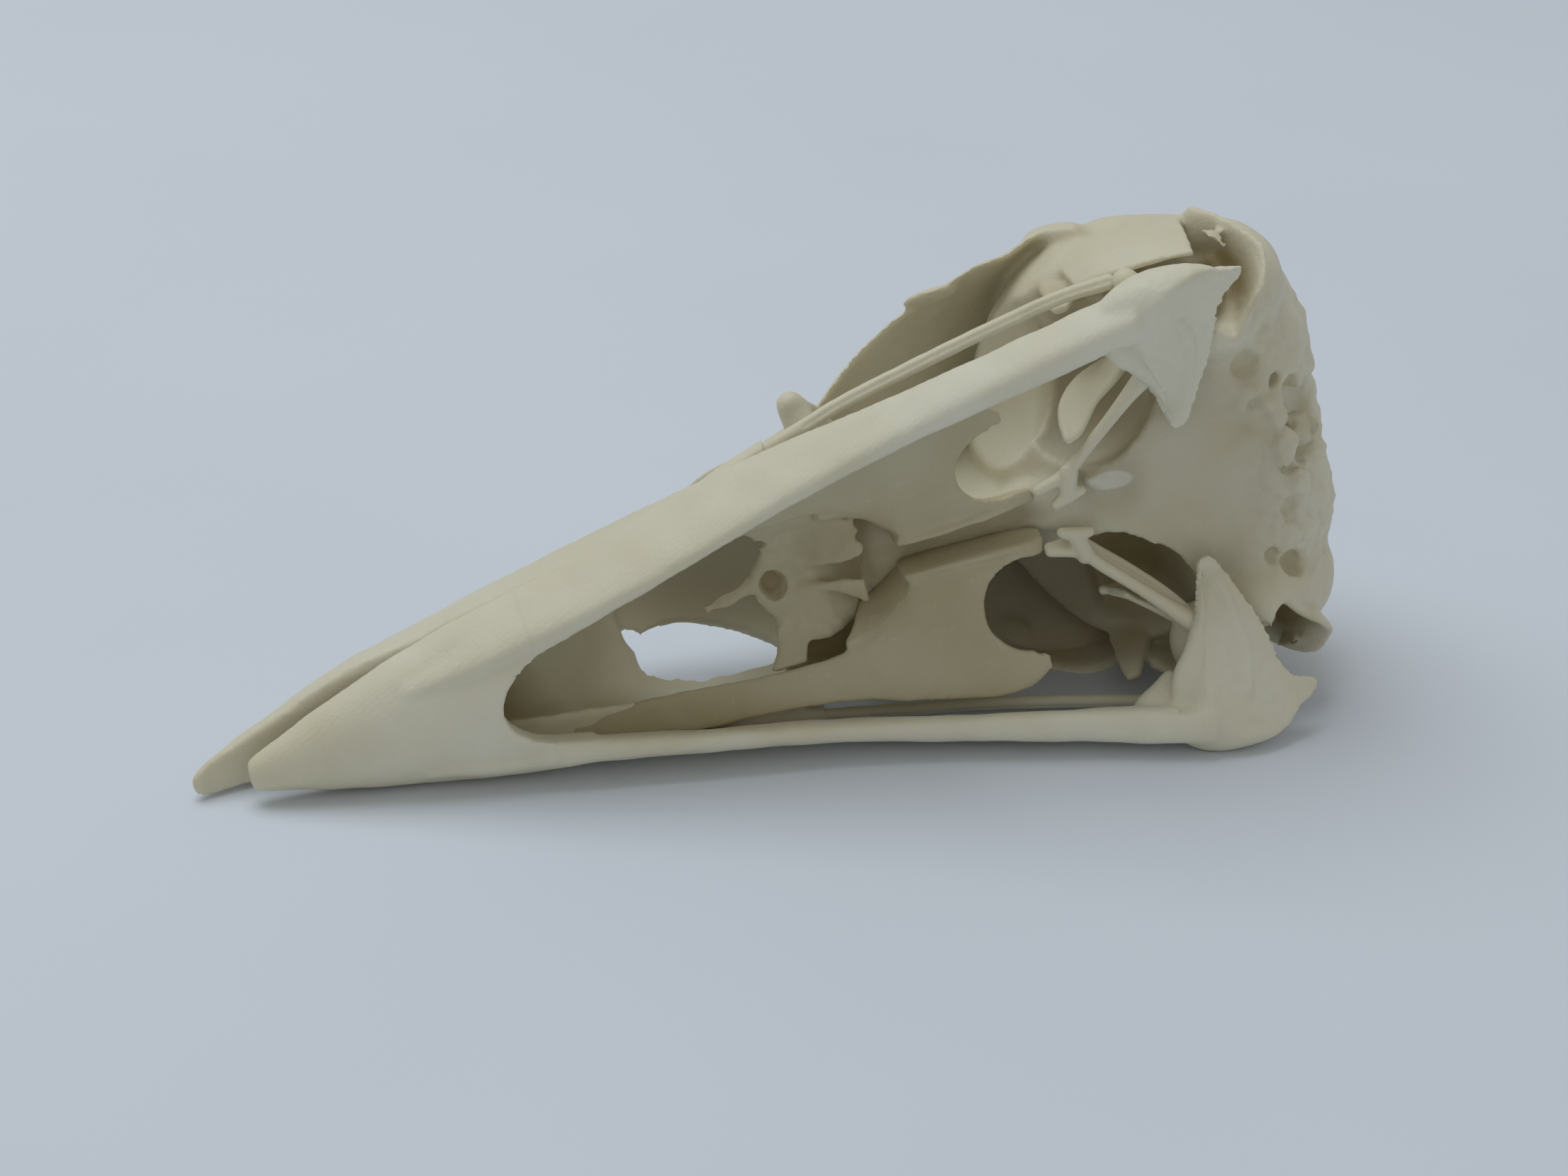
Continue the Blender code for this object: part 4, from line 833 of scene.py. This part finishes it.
clay.stroke(groove, jugalLook["grooveSize"], -jugalLook["grooveDepth"])
presentBoth(clay.done(), "jugal", "struts")
print("stage 8: struts modelled")

# The lower jaw: two bars, a scooped tip and the joint ends, melted into one and parted again
jawLook = {
    "voxel": 0.3,
    "ramus": [  # x, y and z of the upper edge, y and z of the lower, half thickness
        (74.0, 5.6, -2.2, 3.6, -6.4, 0.9), (66.0, 7.6, -1.6, 4.6, -6.9, 1.3),
        (58.0, 9.0, -0.5, 6.2, -7.0, 1.3), (47.8, 12.0, 0.5, 8.8, -6.8, 1.05),
        (37.3, 14.4, 0.7, 11.6, -6.2, 1.05), (26.8, 16.6, -1.4, 14.4, -6.6, 1.2),
        (16.3, 18.9, -3.1, 16.9, -7.8, 1.45), (9.0, 20.5, -4.3, 18.7, -8.8, 1.7),
        (2.0, 22.0, -5.3, 20.3, -10.0, 1.9)],
    "jointEnd": [
        (-1.0, 21.7, -7.0, 6.2, 2.9), (-1.0, 18.4, -6.2, 6.2, 2.7), (-1.6, 15.6, -5.2, 4.9, 2.3),
        (-1.9, 13.0, -4.3, 3.7, 1.9), (-1.8, 11.0, -3.6, 2.7, 1.5), (-1.6, 8.8, -2.9, 1.8, 1.3),
        (-1.5, 7.7, -2.7, 1.3, 1.1)],
    "heel": [(-3.0, 20.6, -7.0, 2.6, 2.4), (-6.4, 21.2, -6.0, 1.7, 1.6), (-8.6, 21.3, -5.4, 0.8, 0.9)],
    "innerSpur": [(7.0, 19.2, -5.0, 1.6, 1.0), (4.2, 17.8, -2.9, 0.9, 0.8)],
    "jointCup": ((-0.9, 17.2, -2.4), (3.2, 5.4, 2.9)),
    "spoon": [
        (58.5, 9.6, 1.6, -7.9), (66, 8.4, 0.4, -7.7), (74, 6.5, -0.4, -7.4), (80.5, 4.6, -1.8, -6.9),
        (85.6, 2.9, -2.9, -6.4), (88.6, 1.9, -3.7, -6.0), (89.6, 1.3, -4.1, -5.8)],
    "trough": [
        (50, 9.4, 12.0, -6.4), (60, 7.6, 12.0, -5.8), (66, 6.6, 12.0, -5.6), (74, 4.9, 10.0, -5.4),
        (80.5, 3.1, 8.0, -5.2), (84, 2.0, 6.0, -5.0), (87, 0.8, 2.0, -4.7)],
    "notch": ((55.5, 0, -6), (10.6, 5.6, 12.0)),
    "ridge": [(-2.1, 18.9, -7.4), (-3.0, 16.1, -5.8), (-2.8, 13.0, -4.6), (-2.2, 9.0, -3.0)],
    "ridgeSize": (0.8, 0.5),        # radius and height of the raised line
    "scoop": [(4.2, 17.4, -7.6), (1.6, 14.4, -6.4), (-0.2, 11.0, -4.6), (-0.8, 9.0, -3.4)],
    "scoopSize": (2.6, -0.9),
    "jointGrain": (0.18, 0.9),
    "jointSpot": (-4.5, 18.0, -6.0),
    "jointReach": 9.0,
    "grain": (0.12, 3.5),
    "facetPoint": (-3.6, 16.6, -5.6),
    "facetWay": (-0.377, -0.373, -0.848),
}
jaw = bone([
    *both(plate(jawLook["ramus"])),
    arch(jawLook["spoon"], waist=0.75),
    *both(rod(jawLook["jointEnd"], side=(1, 0, 0))),
    *both(rod(jawLook["heel"])),
    *both(rod(jawLook["innerSpur"], side=(1, 0, 0))),
], [
    arch(jawLook["trough"]),
    blob(*jawLook["notch"]),
    *both(blob(*jawLook["jointCup"])),
    *both(slab(jawLook["facetPoint"], jawLook["facetWay"], 22)),
], jawLook["voxel"])
clay = Clay(jaw)
for side in (1, -1):
    x, y, z = jawLook["jointSpot"]
    clay.grain(*jawLook["jointGrain"], (x, side * y, z), jawLook["jointReach"])
for side in (1, -1):
    clay.stroke([(x, side * y, z) for x, y, z in jawLook["ridge"]], *jawLook["ridgeSize"])
    clay.stroke([(x, side * y, z) for x, y, z in jawLook["scoop"]], *jawLook["scoopSize"], (0.6, 0, -1))
clay.grain(*jawLook["grain"])
jaw = clay.done()
tipLine = (pose["symphysis"], 0, 0)
present(behind(jaw, tipLine, (-1, 0, 0)), "mandible_symphysis", "jaw")
sides = behind(jaw, tipLine, (1, 0, 0), whole=True)
bpy.data.meshes.remove(jaw)
present(behind(sides, (0, 0, 0), (0, 1, 0)), "mandible_ramus_right", "jaw")
present(behind(sides, (0, 0, 0), (0, -1, 0)), "mandible_ramus_left", "jaw")
bpy.data.meshes.remove(sides)
print("stage 9: jaw modelled")

# A plain pale floor, soft light from above the left, and a camera at the photo's angle
setLook = {
    "floorRadius": 1.5,
    "floorTone": (0.78, 0.835, 0.93),
    "floorShade": 0.96,     # how dark its darkest spots are
    "floorRough": 0.7,
    "sky": (0.95, 0.95, 0.91),
    "skyStrength": 0.36,
    "keyPlace": (-0.22, 0.15, 0.74),
    "keyTone": (0.88, 0.95, 1.0),
    "keySize": 0.7,
    "keyEnergy": 2.5,
    "fillPlace": (0.15, -0.85, 0.45),
    "fillSize": 0.8,
    "fillEnergy": 0.14,
    "cameraPlace": (-0.0128, -0.3668, 0.1855),
    "cameraAhead": (0.0322, 0.9025, -0.4296),
    "cameraUp": (-0.0171, 0.4302, 0.9026),
    "lens": 97.86,
}
bm = bmesh.new()
bmesh.ops.create_circle(bm, cap_ends=True, segments=96, radius=setLook["floorRadius"])
floor = bpy.data.objects.new("floor", asMesh(bm))
stageSet.objects.link(floor)
paper = bpy.data.materials.new("paper")
paper.use_nodes = True
paperShader = paper.node_tree.nodes["Principled BSDF"]
paperShader.inputs["Roughness"].default_value = setLook["floorRough"]
spot = Wire(paper.node_tree, paper.node_tree.nodes.new("ShaderNodeTexCoord").outputs["Object"])
paperTone = spot.speckle(9.0, 3.0).span(0.3, 0.7).tint(
    (*setLook["floorTone"], 1.0), (*(setLook["floorShade"] * tone for tone in setLook["floorTone"]), 1.0))
paper.node_tree.links.new(paperTone.socket, paperShader.inputs["Base Color"])
floor.data.materials.append(paper)

world = bpy.data.worlds.new("studio")
bpy.context.scene.world = world
world.use_nodes = True
world.node_tree.nodes["Background"].inputs["Color"].default_value = (*setLook["sky"], 1.0)
world.node_tree.nodes["Background"].inputs["Strength"].default_value = setLook["skyStrength"]
bpy.context.scene.view_settings.view_transform = "Standard"


def softbox(name, spot, size, energy, tone=(1.0, 1.0, 1.0)):
    lamp = bpy.data.lights.new(name, "AREA")
    lamp.shape = "DISK"
    lamp.size = size
    lamp.energy = energy
    lamp.color = tone
    item = bpy.data.objects.new(name, lamp)
    stageSet.objects.link(item)
    item.location = spot
    item.rotation_euler = (-Vector(spot)).to_track_quat("-Z", "Y").to_euler()


softbox("key", setLook["keyPlace"], setLook["keySize"], setLook["keyEnergy"], setLook["keyTone"])
softbox("fill", setLook["fillPlace"], setLook["fillSize"], setLook["fillEnergy"])

camera = bpy.data.objects.new("camera", bpy.data.cameras.new("camera"))
stageSet.objects.link(camera)
camera.data.lens = setLook["lens"]
camera.data.sensor_width = 36.0
camera.data.clip_start = 0.01
ahead = Vector(setLook["cameraAhead"]).normalized()
right = ahead.cross(Vector(setLook["cameraUp"])).normalized()
facing = Matrix((right, right.cross(ahead), -ahead)).transposed().to_4x4()
camera.matrix_world = Matrix.Translation(setLook["cameraPlace"]) @ facing
bpy.context.scene.camera = camera
print("stage 10: floor, light and camera set")
